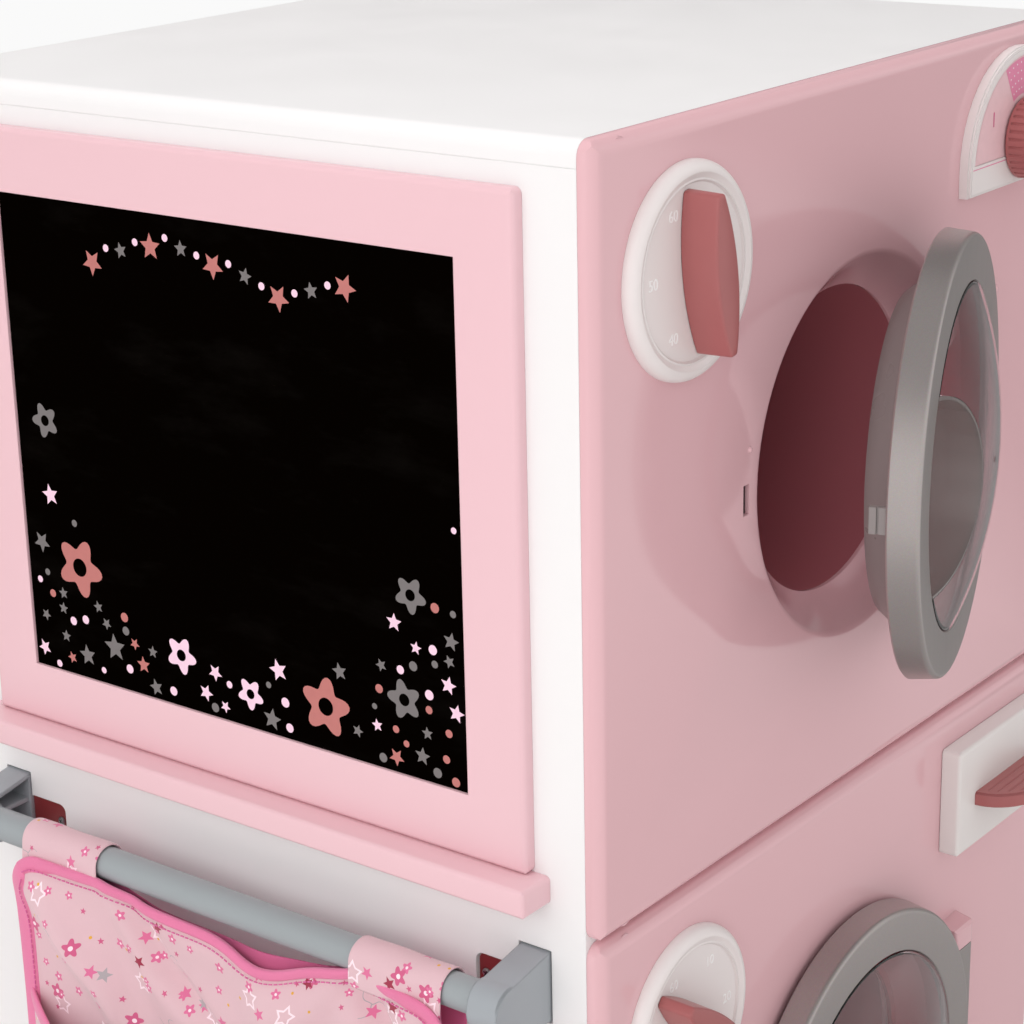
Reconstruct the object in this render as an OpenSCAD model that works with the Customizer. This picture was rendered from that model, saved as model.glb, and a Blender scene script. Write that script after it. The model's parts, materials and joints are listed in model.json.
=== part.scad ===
// Toy laundry tower: two stacked front-loading play machines in one cabinet.
// Frame: origin on the floor under the middle of the cabinet, +Z up,
// the doors face -Y, the chalkboard and the laundry bag hang on the -X side.

/* [Cabinet] */
// Overall width of the cabinet
cab_w = 531; // [480:1:600]
// Overall depth of the cabinet with its front shells
cab_d = 500; // [440:1:560]
// Height of one front shell
shell_h = 429.5; // [410:0.5:450]
// Gap between the two front shells
shell_gap = 2.5; // [1:0.5:5]
// Clear height under the lower shell
plinth_h = 28.5; // [20:0.5:45]
// Thickness of the side, shelf and base boards
board_t = 15; // [12:0.5:18]
// Thickness of the top board
top_t = 14; // [12:0.5:18]
// Thickness of the back board
back_t = 3; // [2.5:0.5:6]
// Depth of the rebate that takes the back board
rebate_d = 6; // [4:0.5:9]
// Width of the side board's land that the back board lies on
rebate_w = 8; // [5:0.5:10]
// Height of the glides under the side boards
glide_h = 4; // [3:0.5:8]
// Radius of a glide
glide_r = 6; // [4:0.5:6]
// Distance from the front and back edges to a glide
glide_in = 45; // [25:1:80]
// How far the toe board stands back from the front
toe_in = 30; // [15:1:60]

/* [Front shells] */
// Depth of a shell's rim
shell_d = 10; // [9:0.5:14]
// Wall of a shell
shell_wall = 3; // [2:0.25:4]
// Radius of a shell's edges and corners
shell_r = 9; // [6:0.5:9]
// Height of the door's centre over the foot of its shell
door_z = 211.2; // [200:0.5:215]
// Radius of the opening in the front face
mouth_r = 111.8; // [100:0.2:114]
// Radius of the throat where the drum starts
throat_r = 91.2; // [80:0.2:98]
// Depth of the cone from the front face to the throat
throat_d = 21.5; // [15:0.5:30]
// Rounding where the cone meets the front face
mouth_fillet = 3; // [1:0.5:4]
// Radius of the screw posts behind a shell
post_r = 6; // [4:0.5:8]
// Radius of the pilot hole in a screw post
post_hole_r = 1.5; // [1:0.1:2.2]

/* [Drums] */
// Inner radius of the drum at its back
drum_back_r = 86; // [70:0.5:90]
// Depth of the drum
drum_d = 205; // [120:1:260]
// Wall of the drum
drum_wall = 2.5; // [1.5:0.25:4]
// Width of the drum's flange behind the shell
drum_flange_w = 14; // [8:0.5:20]
// Rounding between the drum's wall and back
drum_round = 22; // [10:1:30]

/* [Doors] */
// Radius of the door ring at its front edge
ring_r = 127.6; // [118:0.2:129]
// Extra radius of the ring at its back edge
ring_draft = 1.7; // [0.5:0.1:2.5]
// Thickness of the ring
ring_t = 18; // [14:0.5:22]
// Gap between the closed ring and the shell
ring_gap = 3; // [1:0.5:5]
// Rounding of the ring's front edges
ring_fillet = 3; // [1:0.5:5]
// Radius of the opening in the ring
window_r = 100; // [85:0.5:104]
// Height of the window's dome in front of the ring
dome_h = 18.5; // [8:0.5:24]
// Wall of the window
window_t = 2.4; // [1.5:0.1:4]
// Width of the window's edge under the ring
window_lip = 5; // [3:0.5:8]
// Radius of the back cone where it leaves the ring
cone_r = 108; // [100:0.5:109]
// Radius of the back cone at its end
cone_end_r = 92; // [80:0.5:94]
// Depth of the back cone
cone_d = 19; // [12:0.5:22]
// Wall of the back cone
cone_wall = 3; // [2:0.25:4]
// Radius of the opening through the back cone
cone_open_r = 84; // [70:0.5:86]
// Radius of the finger scoop
scoop_r = 58; // [45:0.5:62]
// Distance from the door's centre to the scoop's centre
scoop_x = 88; // [80:0.5:94]
// Depth of the scoop behind the ring's front face
scoop_d = 20; // [12:0.5:24]
// Wall of the scoop
scoop_wall = 2; // [1.5:0.25:3]
// Distance from the door's centre to the hinge axis
hinge_x = 131.4; // [131:0.2:134]
// Distance of the hinge axis in front of the shell
hinge_y = 7; // [6:0.25:9]
// Radius of the hinge pin
pin_r = 2.5; // [1.5:0.1:3.5]
// Running clearance between the pin and the door
pin_clear = 0.05; // [0.03:0.01:0.1]
// Half the height of the door's hinge lug
lug_half = 51.4; // [44:0.2:52]
// Radius that the lug keeps to round its axis
lug_r = 12.2; // [11:0.2:13]
// Height of a hinge knuckle
knuckle_h = 18; // [12:0.5:26]
// Depth of a hinge knuckle in front of the shell
knuckle_d = 13.5; // [12:0.25:16]
// Gap between a knuckle and the lug
knuckle_gap = 0.6; // [0.3:0.1:1]
// Angle of the upper door in the drawing, from closed
upper_open = 17.5; // [0:0.5:60]
// Distance from the door's centre to the latch
latch_x = 124.6; // [120:0.2:124.6]
// Width, height and reach of the latch tongue
latch_w = 3.6; // [2.5:0.1:4.5]
latch_h = 15; // [10:0.5:20]
latch_reach = 9.4; // [7:0.2:12]
// Clearance round the latch in its slot
latch_clear = 1.2; // [0.6:0.1:2]
// Radius of the pip over the latch slot
pip_r = 1.8; // [1:0.1:2.5]
// Height of the pip over the middle of the latch slot
pip_rise = 28; // [18:0.5:34]

/* [Timer dials] */
// Distance from the cabinet's middle plane to a timer dial
dial_x = 185.5; // [180:0.5:192]
// Drop of a timer dial's centre below the head of its shell
dial_drop = 78.5; // [70:0.5:84]
// Radius of a timer dial
dial_r = 57.4; // [50:0.2:60]
// Thickness of a timer dial at its rim
dial_t = 7.5; // [5:0.25:10]
// Depth of the dial's sunk face
dial_sink = 2.5; // [1:0.25:3.5]
// Radius of the sunk face
dial_face_r = 46; // [40:0.5:48]
// Radius of a knob's shaft
shaft_r = 4; // [3:0.1:6]
// Running clearance round a shaft
shaft_clear = 0.06; // [0.03:0.01:0.1]
// Length of the timer grip
grip_l = 88; // [70:1:90]
// Width of the timer grip in its middle
grip_w = 21; // [16:0.5:28]
// Width of the timer grip at its ends
grip_end_w = 6; // [4:0.5:10]
// Height of the timer grip over the dial's face
grip_h = 21; // [15:0.5:28]
// Angle of the upper grip, from upright
upper_turn = 8.5; // [-90:0.5:90]
// Angle of the lower grip, from upright
lower_turn = 48; // [-90:0.5:90]

/* [Heat control] */
// Distance from the cabinet's middle plane to the heat plate's centre
heat_x = 178.8; // [174:0.5:186]
// Drop of the heat plate's head below the head of its shell
heat_drop = 10.5; // [5:0.5:16]
// Width of the heat plate
heat_w = 134; // [120:1:140]
// Height of the straight part of the heat plate
heat_foot = 16; // [10:0.5:18]
// Thickness of the heat plate
heat_t = 7.6; // [5:0.2:10]
// Width of the raised border of the heat plate
heat_border = 5; // [3:0.5:8]
// Height of the plain band over the plate's foot
heat_band = 19; // [14:0.5:22]
// Depth of the sunk field and thickness of its scale card
heat_sink = 1; // [0.6:0.1:2]
// Thickness of the scale card
card_t = 0.5; // [0.3:0.1:0.6]
// Radius of the heat knob
heat_knob_r = 25; // [18:0.5:28]
// Height of the heat knob over the plate
heat_knob_h = 20; // [14:0.5:26]
// Height of the heat knob's axis over the plate's foot
heat_knob_z = 27.5; // [26:0.5:40]
// Number of flutes round the heat knob
flutes = 32; // [16:1:40]
// Radius of a flute
flute_r = 0.9; // [0.5:0.1:1.2]

/* [Drawer] */
// Distance from the cabinet's middle plane to the drawer's centre
drawer_x = 181; // [176:0.5:186]
// Drop of the drawer front's head below the head of its shell
drawer_drop = 22; // [16:0.5:24]
// Width of the drawer front
drawer_w = 129; // [110:1:140]
// Height of the drawer front
drawer_h = 73.5; // [60:0.5:80]
// Thickness of the drawer front
drawer_t = 13.3; // [10:0.5:16]
// Rounding of the drawer front's edges
drawer_r = 3; // [1:0.5:4]
// Width and height of the drawer's tray
tray_w = 104; // [80:1:108]
tray_h = 48; // [30:1:52]
// Length of the tray behind the shell's face
tray_l = 130; // [90:1:180]
// Wall of the tray and of its guide
tray_wall = 2.5; // [2:0.25:4]
// Running clearance round the tray
tray_clear = 0.6; // [0.3:0.1:1]
// How far the drawer pulls out
drawer_travel = 85; // [40:1:90]
// Width, reach and thickness of the drawer's pull
pull_w = 85; // [60:1:100]
pull_reach = 32; // [20:1:40]
pull_t = 9; // [6:0.5:14]
// Height of the pull's top over the drawer front's foot
pull_z = 39; // [30:0.5:50]

/* [Chalkboard] */
// Width and height of the chalkboard's frame
frame_w = 414; // [360:1:440]
frame_h = 371.5; // [320:0.5:380]
// Height of the frame's foot over the floor
frame_z = 493; // [480:0.5:500]
// Width of the frame's rails
rail_w = 38; // [25:1:50]
// Thickness of the frame
frame_t = 8; // [6:0.5:12]
// Rounding of the frame's edges and corners
frame_r = 4; // [2:0.5:5]
// Depth of the board under the frame's face
board_sink = 2; // [1:0.25:3]
// Width of the groove that holds the board
board_groove = 6; // [4:0.5:10]
// Length, reach and thickness of the chalk ledge
ledge_l = 434; // [380:1:450]
ledge_reach = 24.5; // [18:0.5:32]
ledge_t = 16.5; // [10:0.5:20]
// Rounding of the chalk ledge
ledge_r = 3; // [1:0.5:5]

/* [Rod and bag] */
// Radius of the rod
rod_r = 10; // [8:0.25:11]
// Distance from the side board to the rod's axis
rod_x = 36; // [32:0.5:45]
// Height of the rod's axis over the floor
rod_z = 429; // [420:0.5:432]
// Distance between the facing sides of the two brackets
rod_span = 390; // [340:1:400]
// How deep the rod goes into a bracket
socket_d = 9; // [6:0.5:14]
// Thickness of a bracket along the rod
bracket_t = 20; // [16:0.5:24]
// Half the height of a bracket at the side board
bracket_half = 21.3; // [18:0.1:24]
// Drop of the bracket's middle below the rod's axis
bracket_drop = 3; // [0:0.5:4]
// Radius of a bracket's nose
nose_r = 14.5; // [13:0.25:16]
// Wall of the bracket's shell
bracket_wall = 3; // [2.5:0.25:4]
// Depth of the recess for a bracket
recess_d = 3.5; // [3:0.25:5]
// Thickness of the fixing plate in the recess
plate_t = 1.5; // [1:0.25:2]
// Length of the fixing plate beside the bracket
plate_l = 30; // [24:0.5:40]
// Height of the fixing plate's wing
plate_h = 23; // [18:0.5:26]
// Drop of the wing's middle below the bracket's middle
wing_drop = 6; // [2:0.5:7]
// Gap round the bracket and its plate
recess_gap = 1; // [0.5:0.25:2]
// Radius of the screw heads on the plates
screw_head_r = 2.8; // [2:0.1:4]
// Thickness of the bag's cloth
cloth_t = 1.6; // [1:0.1:3]
// Width of the bag
bag_w = 350; // [280:1:370]
// Height of the bag below its top hem
bag_h = 292; // [200:1:320]
// Gap between a hanging loop and the rod
loop_gap = 0.3; // [0.2:0.05:1]
// How far the pocket bulges out
bag_bulge = 62; // [40:1:90]
// Drop from the top hem to the pocket's corners
pocket_drop = 95; // [60:1:130]
// Sag of the pocket's mouth in its middle
pocket_sag = 32; // [10:1:50]
// Width of a hanging loop
loop_w = 66; // [40:1:80]
// Distance from the bag's middle to a loop's middle
loop_y = 132; // [100:1:138]
// Drop of a loop's tail below the rod
loop_tail = 26; // [20:0.5:32]
// Shift of the bag along the rod towards the front
bag_shift = 12; // [0:1:16]
// Width and thickness of the binding
bind_w = 7; // [4:0.5:10]
bind_t = 3; // [2.2:0.2:4]

/* [Hidden] */
$fn = 96;
e = 0.5;                                  // overshoot of cuts
cab_h = plinth_h + 2 * shell_h + shell_gap;
front = -cab_d / 2;                       // the shells' front face
carcass = front + shell_d;                // the boards' front edges
left = -cab_w / 2;
z_low = plinth_h;                         // foot of the lower shell
z_up = plinth_h + shell_h + shell_gap;    // foot of the upper shell
dial_z = shell_h - dial_drop;             // heights over the foot of a shell
heat_z = shell_h - heat_drop - heat_foot - heat_w / 2;
drawer_z = shell_h - drawer_drop - drawer_h;
side_h = cab_h - top_t;
lug_d = knuckle_d;                        // depth of the lug in front of the shell
knuckle_in = 11;                          // knuckle's reach towards the door
knuckle_out = 13;                         // knuckle's reach away from the door
knuckle_cap = 3;                          // skin over the pin's upper end
pip_in = 3;                               // pip's offset from the latch towards the mouth
well_clear = 0.8;                         // room round the lug in its well
ring_back = -ring_gap;                    // ring's back face, from the shell's face
ring_front = -ring_gap - ring_t;
dome_r = (window_r * window_r + dome_h * dome_h) / (2 * dome_h);
rod_y0 = -rod_span / 2;
rod_y1 = rod_span / 2;
rod_mid = -1;                             // rod's middle along the cabinet's depth
bag_mid = rod_mid - bag_shift;
bag_x = left - rod_x - rod_r - loop_gap - cloth_t;  // back panel's inner face
hem_z = rod_z - rod_r - 3;                // top hem under the rod
WHITE = [0.94, 0.92, 0.91]; PINK = [0.86, 0.70, 0.72]; PALE = [0.93, 0.77, 0.80];
ROSE = [0.68, 0.38, 0.39]; DRUM = [0.40, 0.20, 0.23]; GREY = [0.58, 0.56, 0.55];
STEEL = [0.64, 0.67, 0.69]; RED = [0.45, 0.16, 0.17]; HOT = [0.94, 0.57, 0.71];
CLOTH = [0.92, 0.77, 0.80]; BLACK = [0.06, 0.05, 0.05]; CLEAR = [0.85, 0.85, 0.86, 0.5];

// ---- helpers ----
function arc(cx, cy, r, a0, a1, n = 6) =
  [for (i = [0:n]) let (a = a0 + (a1 - a0) * i / n) [cx + r * cos(a), cy + r * sin(a)]];
// rectangle x0..x1, y0..y1 with four rounded corners
function rrect(x0, y0, x1, y1, r, n = 6) = concat(
  arc(x0 + r, y0 + r, r, 180, 270, n), arc(x1 - r, y0 + r, r, 270, 360, n),
  arc(x1 - r, y1 - r, r, 0, 90, n), arc(x0 + r, y1 - r, r, 90, 180, n));
// rectangle whose two corners at y0 are rounded
function frect(x0, y0, x1, y1, r, n = 6) = concat(
  arc(x0 + r, y0 + r, r, 180, 270, n), arc(x1 - r, y0 + r, r, 270, 360, n),
  [[x1, y1], [x0, y1]]);
// extrusions along X and along Y; the outline is (y, z) and (x, z)
module along_x(x0, x1) translate([x0, 0, 0]) rotate([90, 0, 90]) linear_extrude(x1 - x0) children();
module along_y(y0, y1) translate([0, y1, 0]) rotate([90, 0, 0]) linear_extrude(y1 - y0) children();
// body of revolution about Y; the outline is (radius, y)
module turned() rotate([-90, 0, 0]) rotate_extrude() children();
module pin_y(r, y0, y1) translate([0, y0, 0]) rotate([-90, 0, 0]) cylinder(r = r, h = y1 - y0);
// slab in the XZ plane from y0 (rounded edges) to y1, corners rounded too
module slab(x0, z0, x1, z1, y0, y1, r) intersection() {
  along_y(y0, y1) polygon(rrect(x0, z0, x1, z1, r));
  translate([0, 0, z0]) linear_extrude(z1 - z0) polygon(frect(x0, y0, x1, y1, r));
  along_x(x0, x1) polygon([for (p = frect(z0, y0, z1, y1, r)) [p[1], p[0]]]);
}
// slab in the YZ plane from x1 out to x0 (rounded edges at x0)
module side_slab(y0, z0, y1, z1, x0, x1, r) intersection() {
  along_x(x0, x1) polygon(rrect(y0, z0, y1, z1, r));
  translate([0, 0, z0]) linear_extrude(z1 - z0) polygon([for (p = frect(y0, x0, y1, x1, r)) [p[1], p[0]]]);
  along_y(y0, y1) polygon([for (p = frect(z0, x0, z1, x1, r)) [p[1], p[0]]]);
}

// ---- cabinet ----
module side_board(x0) {
  difference() {
    translate([x0, carcass, glide_h]) cube([board_t, cab_d - shell_d, side_h - glide_h]);
    // rebate for the back board, open towards the inside
    translate([x0 < 0 ? x0 + board_t - rebate_w : x0 - e, -front - rebate_d, glide_h - e])
      cube([rebate_w + e, rebate_d + e, side_h]);
  }
}
module recess(s) {
  // s = +1 for the rear bracket, -1 for the front one
  y_in = rod_mid + s * rod_span / 2;
  zc = rod_z - bracket_drop;
  g = recess_gap;
  y_a = min(y_in - s * g, y_in + s * (bracket_t + g));
  translate([left - e, y_a, zc - bracket_half - g])
    cube([recess_d + e, bracket_t + 2 * g, 2 * bracket_half + 2 * g]);
  y_b = min(y_in, y_in - s * (plate_l + g));
  translate([0, y_b, 0]) along_x(left - e, left + recess_d)
    polygon(rrect(s > 0 ? 0 : -2 * g, zc - wing_drop - plate_h / 2 - g, plate_l + g + (s > 0 ? 2 * g : 0),
      zc - wing_drop + plate_h / 2 + g, 5));
}
module side_left() color(WHITE) difference() {
  side_board(left);
  recess(1);
  recess(-1);
}
module side_right() color(WHITE) side_board(-left - board_t);
module top_board() color(WHITE) {
  // the rounded long edges lie over the side boards
  along_y(carcass, -front) polygon(concat(
    [[left, side_h], [-left, side_h]], arc(-left - shell_r, cab_h - shell_r, shell_r, 0, 90),
    arc(left + shell_r, cab_h - shell_r, shell_r, 90, 180)));
}
inner_w = cab_w - 2 * board_t;
inner_back = -front - rebate_d;
module board(z0) translate([-inner_w / 2, carcass, z0]) cube([inner_w, inner_back - carcass, board_t]);
module base_board() color(WHITE) board(plinth_h);
module middle_shelf() color(WHITE) board(z_up - shell_gap / 2 - board_t / 2);
module back_board() color(WHITE) translate([left + board_t - rebate_w, inner_back, glide_h])
  cube([cab_w - 2 * (board_t - rebate_w), back_t, side_h - glide_h]);
module toe_board() color(WHITE) translate([-inner_w / 2, carcass + toe_in, glide_h])
  cube([inner_w, board_t, plinth_h - glide_h]);
module glides() color([0.3, 0.3, 0.3])
  for (s = [-1, 1], y = [carcass + toe_in + glide_in, -front - glide_in])
    translate([s * (-left - board_t / 2), y, 0]) cylinder(r = glide_r, h = glide_h);

// ---- front shells ----
module throat_wall() turned() polygon(concat(
  [[mouth_r + mouth_fillet + 2, 0], [mouth_r + mouth_fillet, 0]],
  [[mouth_r + mouth_fillet * 0.4, mouth_fillet * 0.12], [mouth_r - mouth_fillet * 0.25, mouth_fillet * 0.6],
   [throat_r, throat_d], [throat_r, throat_d + 2.5],
   [throat_r + shell_wall, throat_d + 2.5], [throat_r + shell_wall + 0.8, throat_d],
   [mouth_r + mouth_fillet + 2, shell_wall]]));
module shell(zf) {
  zc = zf + door_z;
  difference() {
    union() {
      difference() {
        slab(left, zf, -left, zf + shell_h, front, carcass, shell_r);
        slab(left + shell_wall, zf + shell_wall, -left - shell_wall, zf + shell_h - shell_wall,
          front + shell_wall, carcass + e, shell_r - shell_wall);
        translate([0, 0, zc]) pin_y(mouth_r + mouth_fillet + 1, front - e, carcass);
        // well for the door's hinge lug
        translate([hinge_x, front - hinge_y, zc - lug_half - knuckle_gap / 2])
          cylinder(r = lug_r + well_clear, h = 2 * lug_half + knuckle_gap);
      }
      translate([0, front, zc]) throat_wall();
      hinge_well(zc);
      for (s = [-1, 1]) knuckle(zc, s);
      for (x = [left + 26, -left - 26], z = [zf + 7.4, zf + shell_h - 7.4])
        translate([x, 0, z]) pin_y(post_r, front + shell_wall - 0.2, carcass);
      // pip that the closed door leans on
      translate([-latch_x + pip_in, front, zc + pip_rise]) turned($fn = 24)
        polygon([[0, 0.5], [pip_r, 0.5], [pip_r, 0], [pip_r * 0.8, -pip_r * 0.5],
          [pip_r * 0.4, -pip_r * 0.8], [0, -pip_r * 0.85]]);
    }
    // the pin's bore through both knuckles
    translate([hinge_x, front - hinge_y, zc - lug_half - knuckle_gap - knuckle_h - e])
      cylinder(r = pin_r + pin_clear, h = 2 * (lug_half + knuckle_gap) + 2 * knuckle_h - knuckle_cap + e);
    for (x = [left + 26, -left - 26], z = [zf + 7.4, zf + shell_h - 7.4])
      translate([x, 0, z]) pin_y(post_hole_r, front + shell_wall, carcass + e);
    // slot for the latch
    translate([-latch_x - latch_w / 2 - latch_clear, front - e, zc - latch_h / 2 - latch_clear])
      cube([latch_w + 2 * latch_clear, shell_wall + 2 * e, latch_h + 2 * latch_clear]);
  }
}
module hinge_well(zc) {
  h = 2 * lug_half + knuckle_gap;
  difference() {
    translate([hinge_x, front - hinge_y, zc - h / 2 - 2]) cylinder(r = lug_r + well_clear + 2, h = h + 4);
    translate([hinge_x, front - hinge_y, zc - h / 2]) cylinder(r = lug_r + well_clear, h = h);
    translate([hinge_x - 2 * lug_r, front - 2 * lug_r, zc - h])
      cube([4 * lug_r, 2 * lug_r + shell_wall / 2, 2 * h]);
    // the cone's own space stays free
    translate([0, 0, zc]) turned() polygon([[0, front - e], [mouth_r + 2, front - e],
      [mouth_r + 2, front + 1], [throat_r + 2, front + throat_d], [0, front + throat_d]]);
  }
}
// knuckle: a block on the shell's face with a slanted outer end
module knuckle(zc, s) {
  z0 = lug_half + knuckle_gap;
  z1 = z0 + knuckle_h;
  translate([0, 0, zc]) intersection() {
    along_x(hinge_x - knuckle_in, hinge_x + knuckle_out)
      polygon([[front - knuckle_d, s * z0], [front - knuckle_d, s * (z1 - 5)],
        [front - knuckle_d + 2, s * (z1 - 3)], [front + shell_wall / 2, s * z1],
        [front + shell_wall / 2, s * z0]]);
    translate([0, 0, -z1]) linear_extrude(2 * z1) polygon(frect(hinge_x - knuckle_in,
      front - knuckle_d, hinge_x + knuckle_out, front + shell_wall / 2, 3));
  }
}
module shell_upper() color(PINK) difference() {
  shell(z_up);
  translate([-dial_x, 0, z_up + dial_z]) pin_y(shaft_r + 1, front - e, front + shell_wall + e);
  translate([heat_x, 0, z_up + heat_z + heat_knob_z]) pin_y(shaft_r + 1, front - e, front + shell_wall + e);
}
module shell_lower() color(PINK) difference() {
  shell(z_low);
  translate([-dial_x, 0, z_low + dial_z]) pin_y(shaft_r + 1, front - e, front + shell_wall + e);
  translate([drawer_x - guide_w / 2, front - e, tray_z0 - guide_b])
    cube([guide_w, shell_wall + 2 * e, guide_h]);
}

// ---- drums ----
module drum(zf) {
  y0 = throat_d + 2.5;                     // the flange sits on the throat's end
  r1 = throat_r;
  translate([0, front, zf + door_z]) turned() polygon(concat(
    [[r1, y0], [r1 + drum_flange_w, y0], [r1 + drum_flange_w, y0 + drum_wall],
     [r1 + drum_wall, y0 + drum_wall]],
    arc(drum_back_r + drum_wall - drum_round, y0 + drum_d - drum_round, drum_round, 0, 90, 8),
    [[0, y0 + drum_d], [0, y0 + drum_d - drum_wall]],
    [for (i = [8:-1:0]) let (a = 90 * i / 8, q = drum_round - drum_wall)
      [drum_back_r - q + q * cos(a), y0 + drum_d - drum_round + q * sin(a)]]));
}
module drum_upper() color(DRUM) drum(z_up);
module drum_lower() color(DRUM) drum(z_low);

// ---- timer dials and knobs ----
module dial(zf) translate([-dial_x, front, zf + dial_z]) turned() polygon(concat(
  [[shaft_r + shaft_clear, 0], [dial_r, 0], [dial_r, -1.2]],
  [for (i = [1:8]) let (a = 90 * i / 8, q = dial_t - 1.2)
    [dial_r - q + q * cos(a), -1.2 - q * sin(a)]],
  [[dial_face_r + 4, -dial_t + 0.6], [dial_face_r + 2, -dial_t + 1.5],
   [dial_face_r + 1, -dial_t + 1.1], [dial_face_r, -dial_t + dial_sink],
   [shaft_r + shaft_clear, -dial_t + dial_sink]]));
module dial_upper() color(WHITE) dial(z_up);
module dial_lower() color(WHITE) dial(z_low);
grip_rad = (grip_l * grip_l / 4 + pow(grip_w / 2 - grip_end_w / 2, 2)) / (grip_w - grip_end_w);
knob_gap = 0.3;                             // running gap over a dial
clip_t = 2;
shaft_end = shell_wall + clip_t + 3;
module timer_knob(zf, turn) translate([-dial_x, front, zf + dial_z]) rotate([0, -turn, 0]) {
  y0 = -dial_t + dial_sink - knob_gap;
  intersection() {
    along_y(y0 - grip_h, y0) intersection() {
      translate([grip_rad - grip_w / 2, 0]) circle(r = grip_rad, $fn = 240);
      translate([-grip_rad + grip_w / 2, 0]) circle(r = grip_rad, $fn = 240);
      square([grip_w + 2, grip_l], center = true);
    }
    // softened ends of the grip's front edge
    along_x(-grip_w, grip_w) polygon([[y0, -grip_l / 2], [y0, grip_l / 2],
      [y0 - grip_h + 2.5, grip_l / 2], [y0 - grip_h + 0.7, grip_l / 2 - 0.7],
      [y0 - grip_h, grip_l / 2 - 2.5], [y0 - grip_h, -grip_l / 2 + 2.5],
      [y0 - grip_h + 0.7, -grip_l / 2 + 0.7], [y0 - grip_h + 2.5, -grip_l / 2]]);
  }
  pin_y(shaft_r, y0 - 1, shaft_end);
}
module timer_knob_upper() color(ROSE) timer_knob(z_up, upper_turn);
module timer_knob_lower() color(ROSE) timer_knob(z_low, lower_turn);
// spring clips that hold the shafts behind the shells; they turn with the knobs
module clip(x, z) translate([x, front, z]) difference() {
  pin_y(shaft_r + 4, shell_wall + knob_gap, shell_wall + knob_gap + clip_t);
  pin_y(shaft_r, shell_wall, shell_wall + clip_t + 1);
}
module timer_clip_upper() color(GREY) clip(-dial_x, z_up + dial_z);
module timer_clip_lower() color(GREY) clip(-dial_x, z_low + dial_z);

// ---- heat control ----
function arch(w, z0, zs, q = 0) = concat([[-w / 2 + q, z0 + q], [w / 2 - q, z0 + q]],
  arc(0, zs, w / 2 - q, 0, 180, 24));
module heat_plate() color(WHITE) translate([heat_x, front, z_up + heat_z]) difference() {
  union() {
    along_y(-heat_t + 2, 0) polygon(arch(heat_w, 0, heat_foot));
    along_y(-heat_t + 0.6, -heat_t + 2) polygon(arch(heat_w, 0, heat_foot, 0.6));
    along_y(-heat_t, -heat_t + 0.6) polygon(arch(heat_w, 0, heat_foot, 2));
  }
  along_y(-heat_t - e, -heat_t + heat_sink) polygon(heat_field(0));
  translate([0, 0, heat_knob_z]) pin_y(shaft_r + shaft_clear, -heat_t - e, e);
}
// field inside the border and above the plain band, drawn in by q
function heat_field(q) = let (r = heat_w / 2 - heat_border - q, d = heat_band + q - heat_foot)
  d > 0 ? arc(0, heat_foot, r, asin(d / r), 180 - asin(d / r), 24)
  : concat([[-r, heat_band + q], [r, heat_band + q]], arc(0, heat_foot, r, 0, 180, 24));
module heat_card() color(HOT) translate([heat_x, front, z_up + heat_z]) difference() {
  along_y(-heat_t + heat_sink - card_t, -heat_t + heat_sink) polygon(heat_field(0.2));
  translate([0, 0, heat_knob_z]) pin_y(shaft_r + 2, -heat_t - e, e);
}
module heat_knob() color(ROSE) translate([heat_x, front, z_up + heat_z + heat_knob_z]) {
  y0 = -heat_t - knob_gap;
  y1 = y0 - heat_knob_h;
  difference() {
    turned() polygon([[0, y0], [heat_knob_r - 0.8, y0], [heat_knob_r, y0 - 0.8],
      [heat_knob_r - 0.5, y1 + 3], [heat_knob_r - 1.6, y1 + 1.2], [heat_knob_r - 3.6, y1 + 0.3],
      [heat_knob_r - 5, y1], [0, y1]]);
    for (i = [0:flutes - 1]) rotate([0, 360 * (i + 0.5) / flutes, 0])
      translate([heat_knob_r, 0, 0]) pin_y(flute_r, y1 + 4, y0 - 2.5);
  }
  // pointer ridge on the face
  translate([-1.5, y1 - 1.2, heat_knob_r * 0.35]) cube([3, 1.2, heat_knob_r * 0.4]);
  pin_y(shaft_r, y0 - 1, shaft_end);
}
module heat_clip() color(GREY) clip(heat_x, z_up + heat_z + heat_knob_z);

// ---- drawer ----
shut_gap = 0.3;                            // gap behind the closed drawer front
pull_soft = 1.2;                           // softening of the pull's top edge
groove_r = 0.8;                            // radius of a groove in the pull
tray_z0 = z_low + drawer_z + (drawer_h - tray_h) / 2;
guide_w = tray_w + 2 * tray_clear;
guide_h = tray_h + 2 * tray_clear;
guide_b = tray_clear;
module drawer_front() color(WHITE) slab(drawer_x - drawer_w / 2, z_low + drawer_z,
  drawer_x + drawer_w / 2, z_low + drawer_z + drawer_h, front - shut_gap - drawer_t,
  front - shut_gap, drawer_r);
module drawer_tray() color(WHITE) translate([drawer_x - tray_w / 2, front - shut_gap, tray_z0])
  difference() {
    cube([tray_w, tray_l, tray_h]);
    translate([tray_wall, tray_wall, tray_wall])
      cube([tray_w - 2 * tray_wall, tray_l - 2 * tray_wall, tray_h]);
  }
module drawer_guide() color(WHITE) difference() {
  union() {
    translate([drawer_x - guide_w / 2 - tray_wall, front + shell_wall, tray_z0 - guide_b - tray_wall])
      cube([guide_w + 2 * tray_wall, tray_l + 5, guide_h + 2 * tray_wall]);
    // flange behind the shell's face
    translate([drawer_x - guide_w / 2 - tray_wall - 5, front + shell_wall, tray_z0 - guide_b - tray_wall - 5])
      cube([guide_w + 2 * tray_wall + 10, tray_wall, guide_h + 2 * tray_wall + 10]);
  }
  translate([drawer_x - guide_w / 2, front, tray_z0 - guide_b])
    cube([guide_w, shell_wall + tray_l + 5 - tray_wall, guide_h]);
}
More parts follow.
